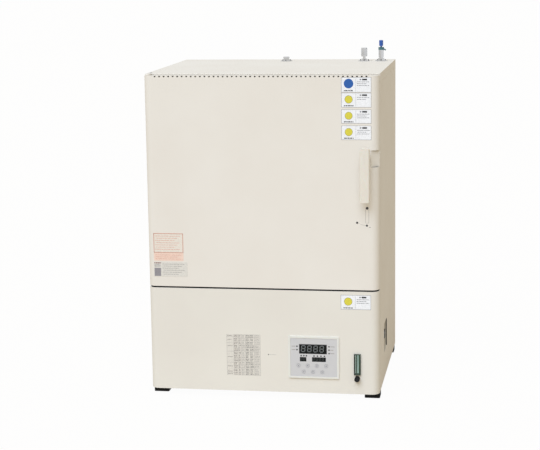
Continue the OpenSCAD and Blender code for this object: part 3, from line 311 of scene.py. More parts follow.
# %% Outlines in millimetres
def rect(x0, z0, x1, z1):
    return [(x0, z0), (x1, z0), (x1, z1), (x0, z1)]


def disc(x, z, radius, corners=32):
    turns = [2 * math.pi * i / corners for i in range(corners)]
    return [(x + radius * math.cos(t), z + radius * math.sin(t)) for t in turns]


def rounded(x0, z0, x1, z1, radius, steps=5):
    """A rectangle with round corners, counter-clockwise."""
    outline = []
    for x, z, start in ((x1, z1, 0), (x0, z1, 1), (x0, z0, 2), (x1, z0, 3)):
        centre_x = x - radius if x == x1 else x + radius
        centre_z = z - radius if z == z1 else z + radius
        for i in range(steps + 1):
            t = math.pi / 2 * (start + i / steps)
            outline.append((centre_x + radius * math.cos(t), centre_z + radius * math.sin(t)))
    return outline


def stroke(x0, z0, x1, z1, width):
    """A straight line of ink with square ends."""
    along = Vector((x1 - x0, z1 - z0)).normalized() * width / 2
    side = Vector((-along.y, along.x))
    a, b = Vector((x0, z0)), Vector((x1, z1))
    return [tuple(p) for p in (a - side, b - side, b + side, a + side)]


def ring_strokes(x, z, radius, width, pieces=20):
    """A ring of short slabs, each a little wedge of the circle."""
    parts = []
    for i in range(pieces):
        a, b = (2 * math.pi * k / pieces for k in (i, i + 1))
        parts.append([(x + r * math.cos(t), z + r * math.sin(t))
                      for r, t in ((radius, a), (radius + width, a), (radius + width, b), (radius, b))])
    return parts


def broken_line(x0, x1, z, height, chance, lengths=(1.5, 5.0), gaps=(0.6, 1.6)):
    """Short marks along a line, with gaps between them."""
    marks = []
    at = x0
    while at < x1 - 0.8:
        end = min(at + chance.uniform(*lengths), x1)
        marks.append(rect(at, z - height / 2, end, z + height / 2))
        at = end + chance.uniform(*gaps)
    return marks


def border(x0, z0, x1, z1, width):
    """The four strokes of a frame, just inside its outline."""
    return [rect(x0, z0, x1, z0 + width), rect(x0, z1 - width, x1, z1),
            rect(x0, z0, x0 + width, z1), rect(x1 - width, z0, x1, z1)]


# %% [markdown]
# The builder below turns a list of layers into one closed mesh. A layer has its
# outlines, the distance from the plane to its start, its thickness and its finish.
# The piece then rides on the body that carries it, so a film on the door swings too.

# %% Build a printed piece
MM = 0.001


def prism(mesh, outline, y, rise, paint):
    """Adds one closed prism that stands out of the plane y towards the front."""
    back = [mesh.verts.new((x * MM, y, z * MM)) for x, z in outline]
    front = [mesh.verts.new((x * MM, y - rise * MM, z * MM)) for x, z in outline]
    faces = [mesh.faces.new(front), mesh.faces.new(back[::-1])]
    for i in range(len(outline)):
        j = (i + 1) % len(outline)
        faces.append(mesh.faces.new((front[i], back[i], back[j], front[j])))
    for face in faces:
        face.material_index = paint


def add_piece(name, mesh, finishes, body):
    """Makes an object from a bmesh, at the origin, and lets it ride on a body."""
    data = bpy.data.meshes.new(name)
    mesh.to_mesh(data)
    mesh.free()
    for material in finishes:
        data.materials.append(material)
    piece = bpy.data.objects.new(name, data)
    bpy.context.scene.collection.objects.link(piece)
    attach(piece, body)
    return piece


def printed(name, body, y, layers):
    """layers: (outlines, start, thickness, finish), in millimetres from the plane y."""
    mesh = bmesh.new()
    finishes = []
    for outlines, start, rise, material in layers:
        if material not in finishes:
            finishes.append(material)
        for outline in outlines:
            prism(mesh, outline, y - start * MM, rise, finishes.index(material))
    return add_piece(name, mesh, finishes, body)


# %% [markdown]
# Film and inks are finishes too. The film is glossy vinyl with a slight waviness from
# the hand that rubbed it down, and the inks are a little duller than the film.

# %% Film and inks
def ink(name, colour, roughness=0.45):
    """A printed colour, with a shade of it that is a little darker."""
    material = finish(name, colour, roughness)
    darker = tuple(c * 0.93 for c in colour)
    mottle(material, grain(material, 350), colour, darker)
    relief(material, grain(material, 60, detail=1), 0.00008)
    return material


white_film = ink("white_film", (250, 250, 251), 0.3)
black_ink = ink("black_ink", (36, 36, 38))
grey_ink = ink("grey_ink", (128, 128, 132))
pale_ink = ink("pale_ink", (168, 163, 156))
table_ink = ink("table_ink", (116, 103, 96))
blue_ink = ink("blue_ink", (30, 92, 168))
yellow_ink = ink("yellow_ink", (226, 214, 70))
frame_ink = ink("frame_ink", (204, 142, 122))
print_ink = ink("print_ink", (226, 164, 144))
dark_red_ink = ink("dark_red_ink", (136, 84, 78))
bold_ink = ink("bold_ink", (62, 58, 56))
peach_film = ink("peach_film", (246, 216, 198))
pale_film = ink("pale_film", (238, 228, 214))
silver_film = ink("silver_film", (228, 223, 213), 0.35)
dark_ink = ink("dark_ink", (150, 145, 148))
table_film = ink("table_film", (229, 223, 212), 0.4)

# %% [markdown]
# Four plain stickers are stacked at the top right of the door, and a fifth is on the
# panel below. Each is a blank form: a coloured disc over a bar on its left half, and
# lines of short marks on its right half. A seed from its name keeps the marks the same.

# %% Stickers with a disc
FRONT_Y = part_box("door_skin")[0].y
STICKER_X = (240.5, 328.0)
STICKER_ROWS = [(928.7, 972.4), (884.8, 927.1), (837.8, 878.7), (789.8, 831.5)]
STICKER_LINES = (3, 2, 3, 3)
STICKER_FILM = 0.2
INK = 0.05
LINE_STEP = 5.4


def disc_sticker(name, body, x, z, disc_ink, lines):
    """A blank sticker: border, disc with a broken bar below it, and lines of marks."""
    chance = random.Random(name)
    (x0, x1), (z0, z1) = x, z
    middle = x0 + (x1 - x0) * 0.48
    ringed = disc_ink is yellow_ink
    disc_r = (z1 - z0) * (0.26 if ringed else 0.32)
    disc_x, disc_z = x0 + (x1 - x0) * 0.245, z1 - (z1 - z0) * (0.45 if ringed else 0.42)
    black = broken_line(disc_x - 14, disc_x + 14, z0 + 4.9, 3.0, chance, (3, 7), (0.8, 1.6))
    black.append(rect(middle + 19, z1 - 9, middle + 33, z1 - 4.2))
    if ringed:
        black += ring_strokes(disc_x, disc_z, disc_r, 0.7, 28)
    grey = border(x0, z0, x1, z1, 0.9) + [rect(middle, z0 + 3, middle + 0.5, z1 - 3)]
    grey.append(rect(middle + 12, z1 - 8.4, middle + 16.5, z1 - 4.8))
    for i in range(lines):
        line_end = x1 - (5 if i % 2 == 0 else 14)
        grey += broken_line(middle + 4, line_end, z1 - 13.4 - LINE_STEP * i, 1.7, chance)
    layers = [([rounded(x0, z0, x1, z1, 1.2)], 0, STICKER_FILM, white_film),
              (black, STICKER_FILM, INK, black_ink),
              (grey, STICKER_FILM, INK, grey_ink),
              ([disc(disc_x, disc_z, disc_r)], STICKER_FILM, INK, disc_ink)]
    return printed(name, body, FRONT_Y, layers)


for number, (rows, lines) in enumerate(zip(STICKER_ROWS, STICKER_LINES), 1):
    paint = blue_ink if number == 1 else yellow_ink
    disc_sticker(f"door_sticker_{number}", "door", STICKER_X, rows, paint, lines)
disc_sticker("base_sticker", "cabinet", (236, 326), (281.4, 325.6), yellow_ink, 3)
print("stickers with a disc:", len(STICKER_ROWS) + 1)

# %% [markdown]
# Low on the left of the door are two more: a pale sheet with a brown frame, whose
# lower part is peach, and under it a silver plate with a grey block at its left. Both
# carry lines of short marks in their own inks.

# %% Framed sheet and silver plate
PLATE_THICK = 0.4
chance = random.Random("sheet")
sheet_marks = []
for row in range(7):
    start, end = -326 + 4 * (row % 2), -250 - 8 * (row % 3)
    sheet_marks += broken_line(start, end, 495 - 6.8 * row, 1.3, chance, (2, 9))
for row in range(3):
    sheet_marks += broken_line(-326, -248 - 10 * (row % 2), 437 - 6 * row, 1.3, chance, (2, 9))
printed("framed_sheet", "door", FRONT_Y, [
    ([rounded(-331, 419, -239.5, 504, 1.2)], 0, STICKER_FILM, peach_film),
    ([rect(-329.4, 446, -241.2, 501.8)], STICKER_FILM, INK, pale_film),
    (border(-330.6, 444, -240, 503.4, 1.7), STICKER_FILM + INK, INK, frame_ink),
    (sheet_marks, STICKER_FILM + INK, INK, print_ink),
])
plate_marks = []
for row in range(6):
    start, end = -305 + 3 * (row % 2), -236 - 10 * (row % 3)
    plate_marks += broken_line(start, end, 409 - 6.2 * row, 1.4, chance, (2, 8))
block_marks = []
for row in range(4):
    block_marks += broken_line(-329.5, -311, 409 - 2.6 * row, 1.6, chance, (1, 3))
printed("silver_plate", "door", FRONT_Y, [
    ([rounded(-331, 371, -228, 415.5, 1.0)], 0, PLATE_THICK, silver_film),
    ([rect(-330, 372, -310, 397)] + block_marks, PLATE_THICK, INK, dark_ink),
    (broken_line(-330, -310, 412.6, 3, chance, (2, 4)), PLATE_THICK, INK, dark_red_ink),
    (plate_marks, PLATE_THICK, INK, pale_ink),
])
print("marks on sheet and plate:", len(sheet_marks) + len(plate_marks) + len(block_marks))

# %% [markdown]
# The settings table on the lower panel is a pale film with a printed grid. A grid
# repeats, so Geometry Nodes make it: one upright line is copied across and one level
# line is copied up. Their sizes and steps are named inputs, so a reader can change them.

# %% A tree for ruled grids
def new_input(tree, name, kind, value):
    """A named input of a tree, with a default where there is one."""
    socket = tree.interface.new_socket(name=name, in_out="INPUT", socket_type=kind)
    if value is not None:
        socket.default_value = value


def copied_bars(tree, count, step, size, start):
    """Cubes of one size, copied in a straight line; each argument is an output socket."""
    line = tree.nodes.new("GeometryNodeMeshLine")
    bar = tree.nodes.new("GeometryNodeMeshCube")
    copies = tree.nodes.new("GeometryNodeInstanceOnPoints")
    for source, target in ((count, line.inputs["Count"]), (step, line.inputs["Offset"]),
                           (start, line.inputs["Start Location"]), (size, bar.inputs["Size"]),
                           (line.outputs["Mesh"], copies.inputs["Points"]),
                           (bar.outputs["Mesh"], copies.inputs["Instance"])):
        tree.links.new(source, target)
    return copies.outputs["Instances"]


def finish_tree(tree, geometry):
    """Ends a tree in Realize Instances and Set Material, because the export drops instances."""
    real = tree.nodes.new("GeometryNodeRealizeInstances")
    paint = tree.nodes.new("GeometryNodeSetMaterial")
    result = tree.nodes.new("NodeGroupOutput")
    tree.links.new(geometry, real.inputs["Geometry"])
    tree.links.new(real.outputs["Geometry"], paint.inputs["Geometry"])
    tree.links.new(tree.nodes["Inputs"].outputs["Material"], paint.inputs["Material"])
    tree.links.new(paint.outputs["Geometry"], result.inputs["Geometry"])


def new_tree(name, sizes):
    """An empty tree with named inputs; sizes is a list of (name, kind, default)."""
    tree = bpy.data.node_groups.new(name, "GeometryNodeTree")
    tree.interface.new_socket(name="Geometry", in_out="OUTPUT", socket_type="NodeSocketGeometry")
    new_input(tree, "Geometry", "NodeSocketGeometry", None)
    for label, kind, value in sizes:
        new_input(tree, label, kind, value)
    new_input(tree, "Material", "NodeSocketMaterial", None)
    tree.nodes.new("NodeGroupInput").name = "Inputs"
    return tree


grid_tree = new_tree("ruled_grid", [
    ("Columns", "NodeSocketInt", 5), ("Rows", "NodeSocketInt", 9),
    ("Column Step", "NodeSocketVector", (0.02, 0, 0)), ("Row Step", "NodeSocketVector", (0, 0, 0.01)),
    ("Upright Size", "NodeSocketVector", (0.0006, 0.0001, 0.1)),
    ("Level Size", "NodeSocketVector", (0.1, 0.0001, 0.0006)),
    ("Upright Start", "NodeSocketVector", (0, 0, 0)), ("Level Start", "NodeSocketVector", (0, 0, 0)),
])
given = grid_tree.nodes["Inputs"].outputs
both = grid_tree.nodes.new("GeometryNodeJoinGeometry")
for count, step, size, start in (("Columns", "Column Step", "Upright Size", "Upright Start"),
                                 ("Rows", "Row Step", "Level Size", "Level Start")):
    bars = copied_bars(grid_tree, given[count], given[step], given[size], given[start])
    grid_tree.links.new(bars, both.inputs["Geometry"])
finish_tree(grid_tree, both.outputs["Geometry"])
print("grid tree inputs:", [item.name for item in grid_tree.interface.items_tree if item.in_out == "INPUT"])

# %% [markdown]
# A tree only shows its result on an object. The helper below hangs the tree on a mesh
# of points, sets the inputs by their identifiers, takes the evaluated result as a
# plain mesh, and removes the modifier, so that the export sees ordinary geometry.

# %% Grow a piece from a tree
def grown(name, tree, values, body, points=(), facing=None):
    """A plain mesh from a node tree; points are places in metres for the tree to use."""
    seed = bpy.data.meshes.new(name + "_points")
    seed.from_pydata([tuple(p) for p in points] or [(0, 0, 0)], [], [])
    if facing:
        normal = seed.attributes.new("facing", "FLOAT_VECTOR", "POINT")
        normal.data.foreach_set("vector", [v for f in facing for v in f])
    holder = bpy.data.objects.new(name + "_holder", seed)
    bpy.context.scene.collection.objects.link(holder)
    modifier = holder.modifiers.new("tree", "NODES")
    modifier.node_group = tree
    names = {item.name: item.identifier for item in tree.interface.items_tree if item.in_out == "INPUT"}
    for label, value in values.items():
        modifier[names[label]] = value
    bpy.context.view_layer.update()
    shown = holder.evaluated_get(bpy.context.evaluated_depsgraph_get())
    data = bpy.data.meshes.new_from_object(shown)
    data.name = name
    bpy.data.objects.remove(holder)
    piece = bpy.data.objects.new(name, data)
    bpy.context.scene.collection.objects.link(piece)
    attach(piece, body)
    print(name, "has", len(data.polygons), "faces")
    return piece


# %% Settings table on the lower panel
PANEL_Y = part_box("lower_front_panel")[0].y
TABLE_X, TABLE_Z = (-111.8, -9.6), (69.0, 196.0)
COLUMN_AT = (20.8, 35.4, 44.7, 57.2, 71.0, 84.0)
ROWS = 13
TABLE_THICK = 0.12
film_outline = rounded(TABLE_X[0] - 1, TABLE_Z[0] - 1, TABLE_X[1] + 1, TABLE_Z[1] + 1, 1)
printed("table_film", "cabinet", PANEL_Y, [([film_outline], 0, TABLE_THICK, table_film)])
table_w, table_h = TABLE_X[1] - TABLE_X[0], TABLE_Z[1] - TABLE_Z[0]
ruled_w = table_w - COLUMN_AT[0]
table_y = PANEL_Y - (TABLE_THICK + 0.03) * MM
grown("table_grid", grid_tree, {
    "Columns": 2, "Rows": ROWS,
    "Column Step": (table_w * MM, 0, 0), "Row Step": (0, 0, table_h / (ROWS - 1) * MM),
    "Upright Size": (0.0005, 0.00008, table_h * MM), "Level Size": (ruled_w * MM, 0.00008, 0.0004),
    "Upright Start": (TABLE_X[0] * MM, table_y, (TABLE_Z[0] + table_h / 2) * MM),
    "Level Start": ((TABLE_X[1] - ruled_w / 2) * MM, table_y, TABLE_Z[0] * MM), "Material": pale_ink,
}, "cabinet")

# %% [markdown]
# The other lines of the table are not evenly spaced, so they are drawn one by one. The
# cells hold lines of short marks, dense in some columns and bold in others. A fixed seed
# gives the same marks each time.

# %% Lines and marks in the table
LEFT_RULES_Z = (188.6, 169.5, 142.8, 108.3, 83.7, 77.0)
LEFT_MARKS_Z = (192, 180, 160, 126, 97, 80.5, 73)
table_left = TABLE_X[0]
column_x = [table_left + at for at in COLUMN_AT]
table_lines = [rect(x - 0.25, TABLE_Z[0], x + 0.25, TABLE_Z[1]) for x in column_x]
table_lines += [rect(table_left, z - 0.3, column_x[0], z + 0.3) for z in LEFT_RULES_Z]
chance = random.Random("table")
column_edges = COLUMN_AT + (table_w,)
dense, light, bold = [], [], []
for row in range(ROWS - 1):
    middle_z = TABLE_Z[0] + (row + 0.5) * table_h / (ROWS - 1)
    for column in range(6):
        start = table_left + column_edges[column] + 1.2
        end = table_left + column_edges[column + 1] - 1.2
        end -= chance.uniform(0, 0.3) * (end - start)
        group = (dense, dense, light, bold, bold, light)[column]
        for lift in (-2.2, 2.2):
            group += broken_line(start, end, middle_z + lift, 2.0, chance, (1, 4), (0.7, 1.8))
for z in LEFT_MARKS_Z:
    dense += broken_line(table_left + 2, table_left + 17, z, 1.5, chance, (1, 4))
printed("table_print", "cabinet", PANEL_Y, [
    (table_lines + light, TABLE_THICK, INK, pale_ink), (dense, TABLE_THICK, INK, table_ink),
    (bold, TABLE_THICK, INK, bold_ink)])
printed("table_note", "cabinet", PANEL_Y, [
    ([disc(15.5, 136, 1.6, 16)], 0, INK, black_ink),
    (broken_line(19, 40, 136, 0.9, chance), 0, INK, pale_ink)])
print("marks in the table:", len(dense) + len(light) + len(bold))

# %% [markdown]
# The big display shows four digits that are switched off, so all seven segments of
# each can be seen as grey on black. A segment is a bar with pointed ends.

# %% Unlit segments
WINDOW_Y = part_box("display_windows")[0].y
SEGMENT = 0.06
LEAN = 0.08


def segment(x0, z0, x1, z1, width, foot_z):
    """One pointed bar between two points, leaning a little to the right."""
    a, b = Vector((x0, z0)), Vector((x1, z1))
    along = (b - a).normalized() * width / 2
    side = Vector((-along.y, along.x))
    gap = along * 0.35
    corners = [a + gap, a + gap + along - side, b - gap - along - side, b - gap, b - gap - along + side,
               a + gap + along + side]
    return [(p.x + (p.y - foot_z) * LEAN, p.y) for p in corners]


def digit(x, z, width, height, stroke_w):
    """The seven segments of a digit whose lower left corner is (x, z)."""
    x1, mid, top = x + width, z + height / 2, z + height
    ends = [(x, z, x1, z), (x, mid, x1, mid), (x, top, x1, top),
            (x, z, x, mid), (x1, z, x1, mid), (x, mid, x, top), (x1, mid, x1, top)]
    return [segment(*e, stroke_w, z) for e in ends]


segment_grey = ink("segment_grey", (108, 112, 112), 0.4)
big = [s for i in range(4) for s in digit(116 + 18.6 * i, 148.9, 10.6, 18.4, 2.5)]
small = [s for i in range(2) for s in digit(113.2 + 8.2 * i, 122.4, 4.8, 8, 1.1)]
small += [s for i in range(4) for s in digit(150.4 + 9.4 * i, 122.6, 5.2, 8.2, 1.1)]
dim_segment = ink("dim_segment", (52, 56, 55), 0.4)
printed("display_segments", "cabinet", WINDOW_Y, [
    (big, 0, SEGMENT, segment_grey), (small, 0, SEGMENT, dim_segment)])
print("segments:", len(big) + len(small))

# %% [markdown]
# Each key has a printed ring and a simple mark on its cap: an arrowhead, a bar or a
# dot. A key moves on its own joint, so the print on it is a piece that rides on it.

# %% Marks on the keys
def key_mark(number, x, z):
    """An arrowhead up or down, two bars or a dot, in turn."""
    arrow_up = [(x - 2.4, z - 1.6), (x + 2.4, z - 1.6), (x, z + 2.2)]
    arrow_down = [(x - 2.4, z + 1.6), (x, z - 2.2), (x + 2.4, z + 1.6)]
    bars = [rect(x - 2.4, z - 2.2, x + 2.4, z - 1), rect(x - 2.4, z + 1, x + 2.4, z + 2.2)]
    return {1: [arrow_up], 2: [arrow_down], 3: bars, 4: [disc(x, z, 1.7, 16)]}[(number - 1) % 4 + 1]


for number in range(1, 8):
    low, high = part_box(f"key_{number}")
    x, z = (low.x + high.x) / 2 / MM, (low.z + high.z) / 2 / MM
    outlines = ring_strokes(x, z, 4.9, 0.45) + key_mark(number, x, z)
    printed(f"key_mark_{number}", f"key_{number}", low.y, [(outlines, 0, 0.04, grey_ink)])

# %% [markdown]
# Each lamp has a black ring, and the windows have a narrow black edge. The legends
# beside the upper lamps are plain bars. All of it is printed on the panel's grey film.

# %% Print on the panel's face
FACE_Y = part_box("panel_face")[0].y
FACE_INK = 0.04
LAMP_R = 1.55
LEFT_LAMPS_X, LEFT_LAMPS_Z = 103, (165.0, 154.5)
RIGHT_LAMPS_X, RIGHT_LAMPS_Z = 200, (166.0, 155.5, 145.0)
ROW_LAMPS_X, ROW_LAMPS_Z = (115.5, 123.5, 131.5, 154.5, 165.0, 175.5, 186.0), 136.2
legends = [rect(87, z - 1, 98, z + 1) for z in LEFT_LAMPS_Z]
legends += [rect(204, z - 1, 204 + length, z + 1) for z, length in zip(RIGHT_LAMPS_Z, (13, 9, 12))]
lamp_places = [(LEFT_LAMPS_X, z) for z in LEFT_LAMPS_Z]
lamp_places += [(RIGHT_LAMPS_X, z) for z in RIGHT_LAMPS_Z]
lamp_places += [(x, ROW_LAMPS_Z) for x in ROW_LAMPS_X]
lamp_rings = [s for x, z in lamp_places for s in ring_strokes(x, z, LAMP_R, 0.8, 16)]
big_window_edges = [rect(109.5, 142.5, 110.5, 172.2), rect(191.5, 142.5, 193.4, 172.2),
                    rect(110.5, 169.5, 191.5, 172.2)]
small_window_edges = [rect(111.5, 131.0, 131.0, 132.0), rect(148.5, 131.5, 190.4, 132.4),
                      rect(189.0, 118.5, 190.4, 131.5)]
printed("face_print", "cabinet", FACE_Y, [
    (legends, 0, FACE_INK, pale_ink),
    (lamp_rings + big_window_edges + small_window_edges, 0, FACE_INK, black_ink)])
print("lamps:", len(lamp_places))

# %% [markdown]
# Below the grip the door carries a small drawing of how the grip turns: a bar, its
# pivot, and two dots joined by an arc. It is drawn from the same flat outlines.

# %% Drawing of the turning grip
arc_ends = [(285.5 + 28.7 * i / 8, 544.3 - 8.3 * math.sin(math.pi / 2 * i / 8)) for i in range(9)]
arc = [stroke(*arc_ends[i], *arc_ends[i + 1], 0.7) for i in range(1, 7)]
bar_outline = [rect(310.2, 544, 311.1, 585), rect(319.7, 544, 320.6, 585), rect(311.1, 543.2, 319.7, 544.1)]
dots = [disc(314.4, 536, 3.2, 24), disc(285.5, 544.3, 3.2, 24)]
printed("turning_drawing", "door", FRONT_Y, [
    (dots, 0, INK, black_ink), ([disc(315.2, 588, 4.2, 24)], 0, INK, bold_ink),
    (bar_outline + arc + [rect(320.5, 530.2, 326, 532)], 0, INK, pale_ink)])

# %% [markdown]
# The flowmeter's tube stands in a dark green block. The light strips on the face of the block are the scale
# and a painted highlight of the tube, the dark ones are painted shade of the block's sides, and the ticks are
# the scale's lines.

# %% Scale of the flowmeter, with painted highlight and painted shade
block_low, block_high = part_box("flowmeter_body")
BLOCK_X = block_low.x / MM
BLOCK_TOP = block_high.z / MM
BLOCK_FOOT = BLOCK_TOP - 63.5
STRIP_Z = (BLOCK_FOOT + 6.5, BLOCK_TOP - 2)
STRIP_THICK = 0.08
TICK_STEP = 5.2
scale_film = finish("scale_film", (158, 174, 163), 0.3)
mottle(scale_film, grain(scale_film, 120, stretch=(1, 1, 0.2)), (164, 180, 169), (136, 154, 142))
# The tube's strip is a painted highlight
tube_painted_highlight = finish("tube_painted_highlight", (158, 184, 174), 0.2)
mottle(tube_painted_highlight, grain(tube_painted_highlight, 60, stretch=(1, 1, 0.3)), (164, 190, 180), (124, 150, 139))
# The edge strip and the green strip are painted shade of the block's sides
block_edge_shade = finish("block_edge_shade", (24, 32, 26), 0.2, Specular_IOR_Level=0.2)
mottle(block_edge_shade, grain(block_edge_shade, 80), (22, 30, 24), (32, 42, 34))
block_side_shade = finish("block_side_shade", (50, 65, 50), 0.2, Specular_IOR_Level=0.2)
mottle(block_side_shade, grain(block_side_shade, 80), (48, 63, 48), (58, 76, 60))
tick_count = int((STRIP_Z[1] - STRIP_Z[0] - 2) / TICK_STEP)
ticks = []
for i in range(tick_count):
    foot = STRIP_Z[0] + 1 + TICK_STEP * i
    ticks.append(rect(BLOCK_X + 6.2, foot, BLOCK_X + (8.0 if i % 5 else 9.2), foot + 0.4))
printed("flowmeter_scale", "cabinet", block_low.y, [
    ([rect(BLOCK_X + 0.3, BLOCK_FOOT, BLOCK_X + 3.6, BLOCK_TOP - 0.5)], 0, STRIP_THICK, block_edge_shade),
    ([rect(BLOCK_X + 14.7, BLOCK_FOOT, BLOCK_X + 19.3, BLOCK_TOP - 0.5)], 0, STRIP_THICK, block_side_shade),
    ([rect(BLOCK_X + 3.9, STRIP_Z[0], BLOCK_X + 5.9, STRIP_Z[1])], 0, STRIP_THICK, scale_film),
    ([rect(BLOCK_X + 10.2, STRIP_Z[0], BLOCK_X + 14.1, STRIP_Z[1])], 0, STRIP_THICK, tube_painted_highlight),
    (ticks, 0, STRIP_THICK / 2, scale_film),
])
print("scale with", tick_count, "ticks from", round(STRIP_Z[0], 1), "to", round(STRIP_Z[1], 1))

# %% [markdown]
# A few soft seals lie in the gaps of the sheet work. A black foam band lies on the lower panel under the door
# and follows its rounded corners; its black is a seal and also painted shade of the deep seam. A cream strip
# closes the slit between the door's top and the cover, and a brown strip in the slit at the door's right edge
# is painted shade of that gap.

# %% Seals and painted shade in the gaps
CORNER_X, CORNER_Y = 326, -286
PLATE_CLEAR = 39.5
DOOR_REAR, SHELL_FRONT = -280, -272
PANEL_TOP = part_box("lower_front_panel")[1].z / MM
DOOR_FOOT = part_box("door_skin")[0].z / MM


def upright(mesh, outline, z0, z1):
    """Adds a closed prism that stands upright; its outline is in X and Y, in millimetres."""
    low = [mesh.verts.new((x * MM, y * MM, z0 * MM)) for x, y in outline]
    top = [mesh.verts.new((x * MM, y * MM, z1 * MM)) for x, y in outline]
    mesh.faces.new(top)
    mesh.faces.new(low[::-1])
    for i in range(len(outline)):
        j = (i + 1) % len(outline)
        mesh.faces.new((low[i], low[j], top[j], top[i]))


def seam_path(radius):
    """The panel's front edge; at the left it stops short of the hinge plate."""
    left_turn = [math.radians(PLATE_CLEAR + (90 - PLATE_CLEAR) * i / 8) for i in range(9)]
    right_turn = [math.radians(90 - 90 * i / 10) for i in range(11)]
    path = [(-CORNER_X - radius * math.cos(t), CORNER_Y - radius * math.sin(t)) for t in left_turn]
    path += [(CORNER_X + radius * math.cos(t), CORNER_Y - radius * math.sin(t)) for t in right_turn]
    return path + [(CORNER_X + radius, DOOR_REAR - 1)]


def plain_piece(name, outlines, z0, z1, paint):
    """Upright prisms of one height as one piece of the cabinet."""
    mesh = bmesh.new()
    for outline in outlines:
        upright(mesh, outline, z0, z1)
    return add_piece(name, mesh, [paint], "cabinet")


# The black foam is a seal and also painted shade of the seam under the door
seam_foam_shade = finish("seam_foam_shade", (14, 14, 14), 0.9, Specular_IOR_Level=0.1)
mottle(seam_foam_shade, grain(seam_foam_shade, 400), (12, 12, 12), (24, 23, 22))
relief(seam_foam_shade, grain(seam_foam_shade, 1500), 0.0002)
# The brown strip is painted shade of the slit at the door's right edge
edge_gap_shade = finish("edge_gap_shade", (176, 166, 146), 0.7, Specular_IOR_Level=0.2)
mottle(edge_gap_shade, grain(edge_gap_shade, 200), (178, 168, 148), (166, 156, 137))
foam_outline = seam_path(22) + seam_path(19)[::-1]
plain_piece("seam_band", [foam_outline], PANEL_TOP + 0.05, DOOR_FOOT - 1.5, seam_foam_shade)
dust_outline = rect(-328, DOOR_REAR + 1.5, 346, SHELL_FRONT)
plain_piece("dust_strip", [dust_outline], 960, 976, cream_paint)
side_outline = rect(345, DOOR_REAR + 0.4, 349.3, SHELL_FRONT)
plain_piece("side_gap_shade", [side_outline], DOOR_FOOT + 1, 954, edge_gap_shade)
print("foam from", round(PANEL_TOP, 1), "to", round(DOOR_FOOT - 1.5, 1), "mm")

# %% [markdown]
# The breaker sits deep in its recess. Two black cheeks flank the toggle, and a black edging along the
# recess's rear wall is painted shade of the gap there.

# %% Cheeks of the breaker and painted shade at its recess
CHEEK_X = (337.1, 346.8)
CHEEK_ROWS = ((-106, -89.2), (-70.8, -54))
cheek_outlines = [rect(CHEEK_X[0], y0, CHEEK_X[1], y1) for y0, y1 in CHEEK_ROWS]
plain_piece("breaker_cheeks", cheek_outlines, 133.5, 160.5, black_plastic)
# The black edging is painted shade at the recess's rear edge
plain_piece("recess_edge_shade", [rect(346.9, -30.5, 349.6, -29.5)], 101.2, 192.8, foot_rubber)
print("cheeks:", len(cheek_outlines))

# %% [markdown]
# Screws repeat all over a cabinet, so one tree makes them: a domed head with a crossed
# recess, copied to points and turned by the direction that each point stores. The
# recess is cut by a boolean in the tree, once, before the head is copied.

# %% A tree for screw heads
screw_tree = new_tree("screw_heads", [
    ("Head Width", "NodeSocketFloat", 0.006), ("Head Height", "NodeSocketFloat", 0.0018),
    ("Recess Width", "NodeSocketFloat", 0.0009),
])


def tree_math(tree, operation, one, other):
    """A Math node; other is a number or an output socket."""
    node = tree.nodes.new("ShaderNodeMath")
    node.operation = operation
    tree.links.new(one, node.inputs[0])
    if isinstance(other, (int, float)):
        node.inputs[1].default_value = other
    else:
        tree.links.new(other, node.inputs[1])
    return node.outputs["Value"]


def head_shape(tree, given):
    """A dome cut off flat below, with a crossed recess in its top."""
    radius = tree_math(tree, "MULTIPLY", given["Head Width"], 0.5)
    cone = tree.nodes.new("GeometryNodeMeshCone")
    cone.inputs["Vertices"].default_value = 20
    cone.inputs["Side Segments"].default_value = 2
    tree.links.new(radius, cone.inputs["Radius Bottom"])
    tree.links.new(tree_math(tree, "MULTIPLY", radius, 0.72), cone.inputs["Radius Top"])
    tree.links.new(given["Head Height"], cone.inputs["Depth"])
    cut = tree.nodes.new("GeometryNodeMeshBoolean")
    cut.operation = "DIFFERENCE"
    tree.links.new(cone.outputs["Mesh"], cut.inputs["Mesh 1"])
    arm = tree_math(tree, "MULTIPLY", given["Head Width"], 0.62)
    for first, second in ((arm, given["Recess Width"]), (given["Recess Width"], arm)):
        size = tree.nodes.new("ShaderNodeCombineXYZ")
        tree.links.new(first, size.inputs["X"])
        tree.links.new(second, size.inputs["Y"])
        tree.links.new(given["Head Height"], size.inputs["Z"])
        bar = tree.nodes.new("GeometryNodeMeshCube")
        tree.links.new(size.outputs["Vector"], bar.inputs["Size"])
        lift = tree.nodes.new("GeometryNodeTransform")
        rise = tree.nodes.new("ShaderNodeCombineXYZ")
        tree.links.new(tree_math(tree, "MULTIPLY", given["Head Height"], 0.9), rise.inputs["Z"])
        tree.links.new(bar.outputs["Mesh"], lift.inputs["Geometry"])
        tree.links.new(rise.outputs["Vector"], lift.inputs["Translation"])
        tree.links.new(lift.outputs["Geometry"], cut.inputs["Mesh 2"])
    return cut.outputs["Mesh"]


given = screw_tree.nodes["Inputs"].outputs
toward = screw_tree.nodes.new("GeometryNodeInputNamedAttribute")
toward.data_type = "FLOAT_VECTOR"
toward.inputs["Name"].default_value = "facing"
turn = screw_tree.nodes.new("FunctionNodeAlignRotationToVector")
turn.axis = "Z"
screw_tree.links.new(toward.outputs["Attribute"], turn.inputs["Vector"])
copies = screw_tree.nodes.new("GeometryNodeInstanceOnPoints")
screw_tree.links.new(given["Geometry"], copies.inputs["Points"])
screw_tree.links.new(head_shape(screw_tree, given), copies.inputs["Instance"])
screw_tree.links.new(turn.outputs["Rotation"], copies.inputs["Rotation"])
finish_tree(screw_tree, copies.outputs["Instances"])

# %% [markdown]
# Each group of screws is a list of places on one body. The places come from the boxes
# of the CAD nodes, so a screw always sits on the sheet that it holds.

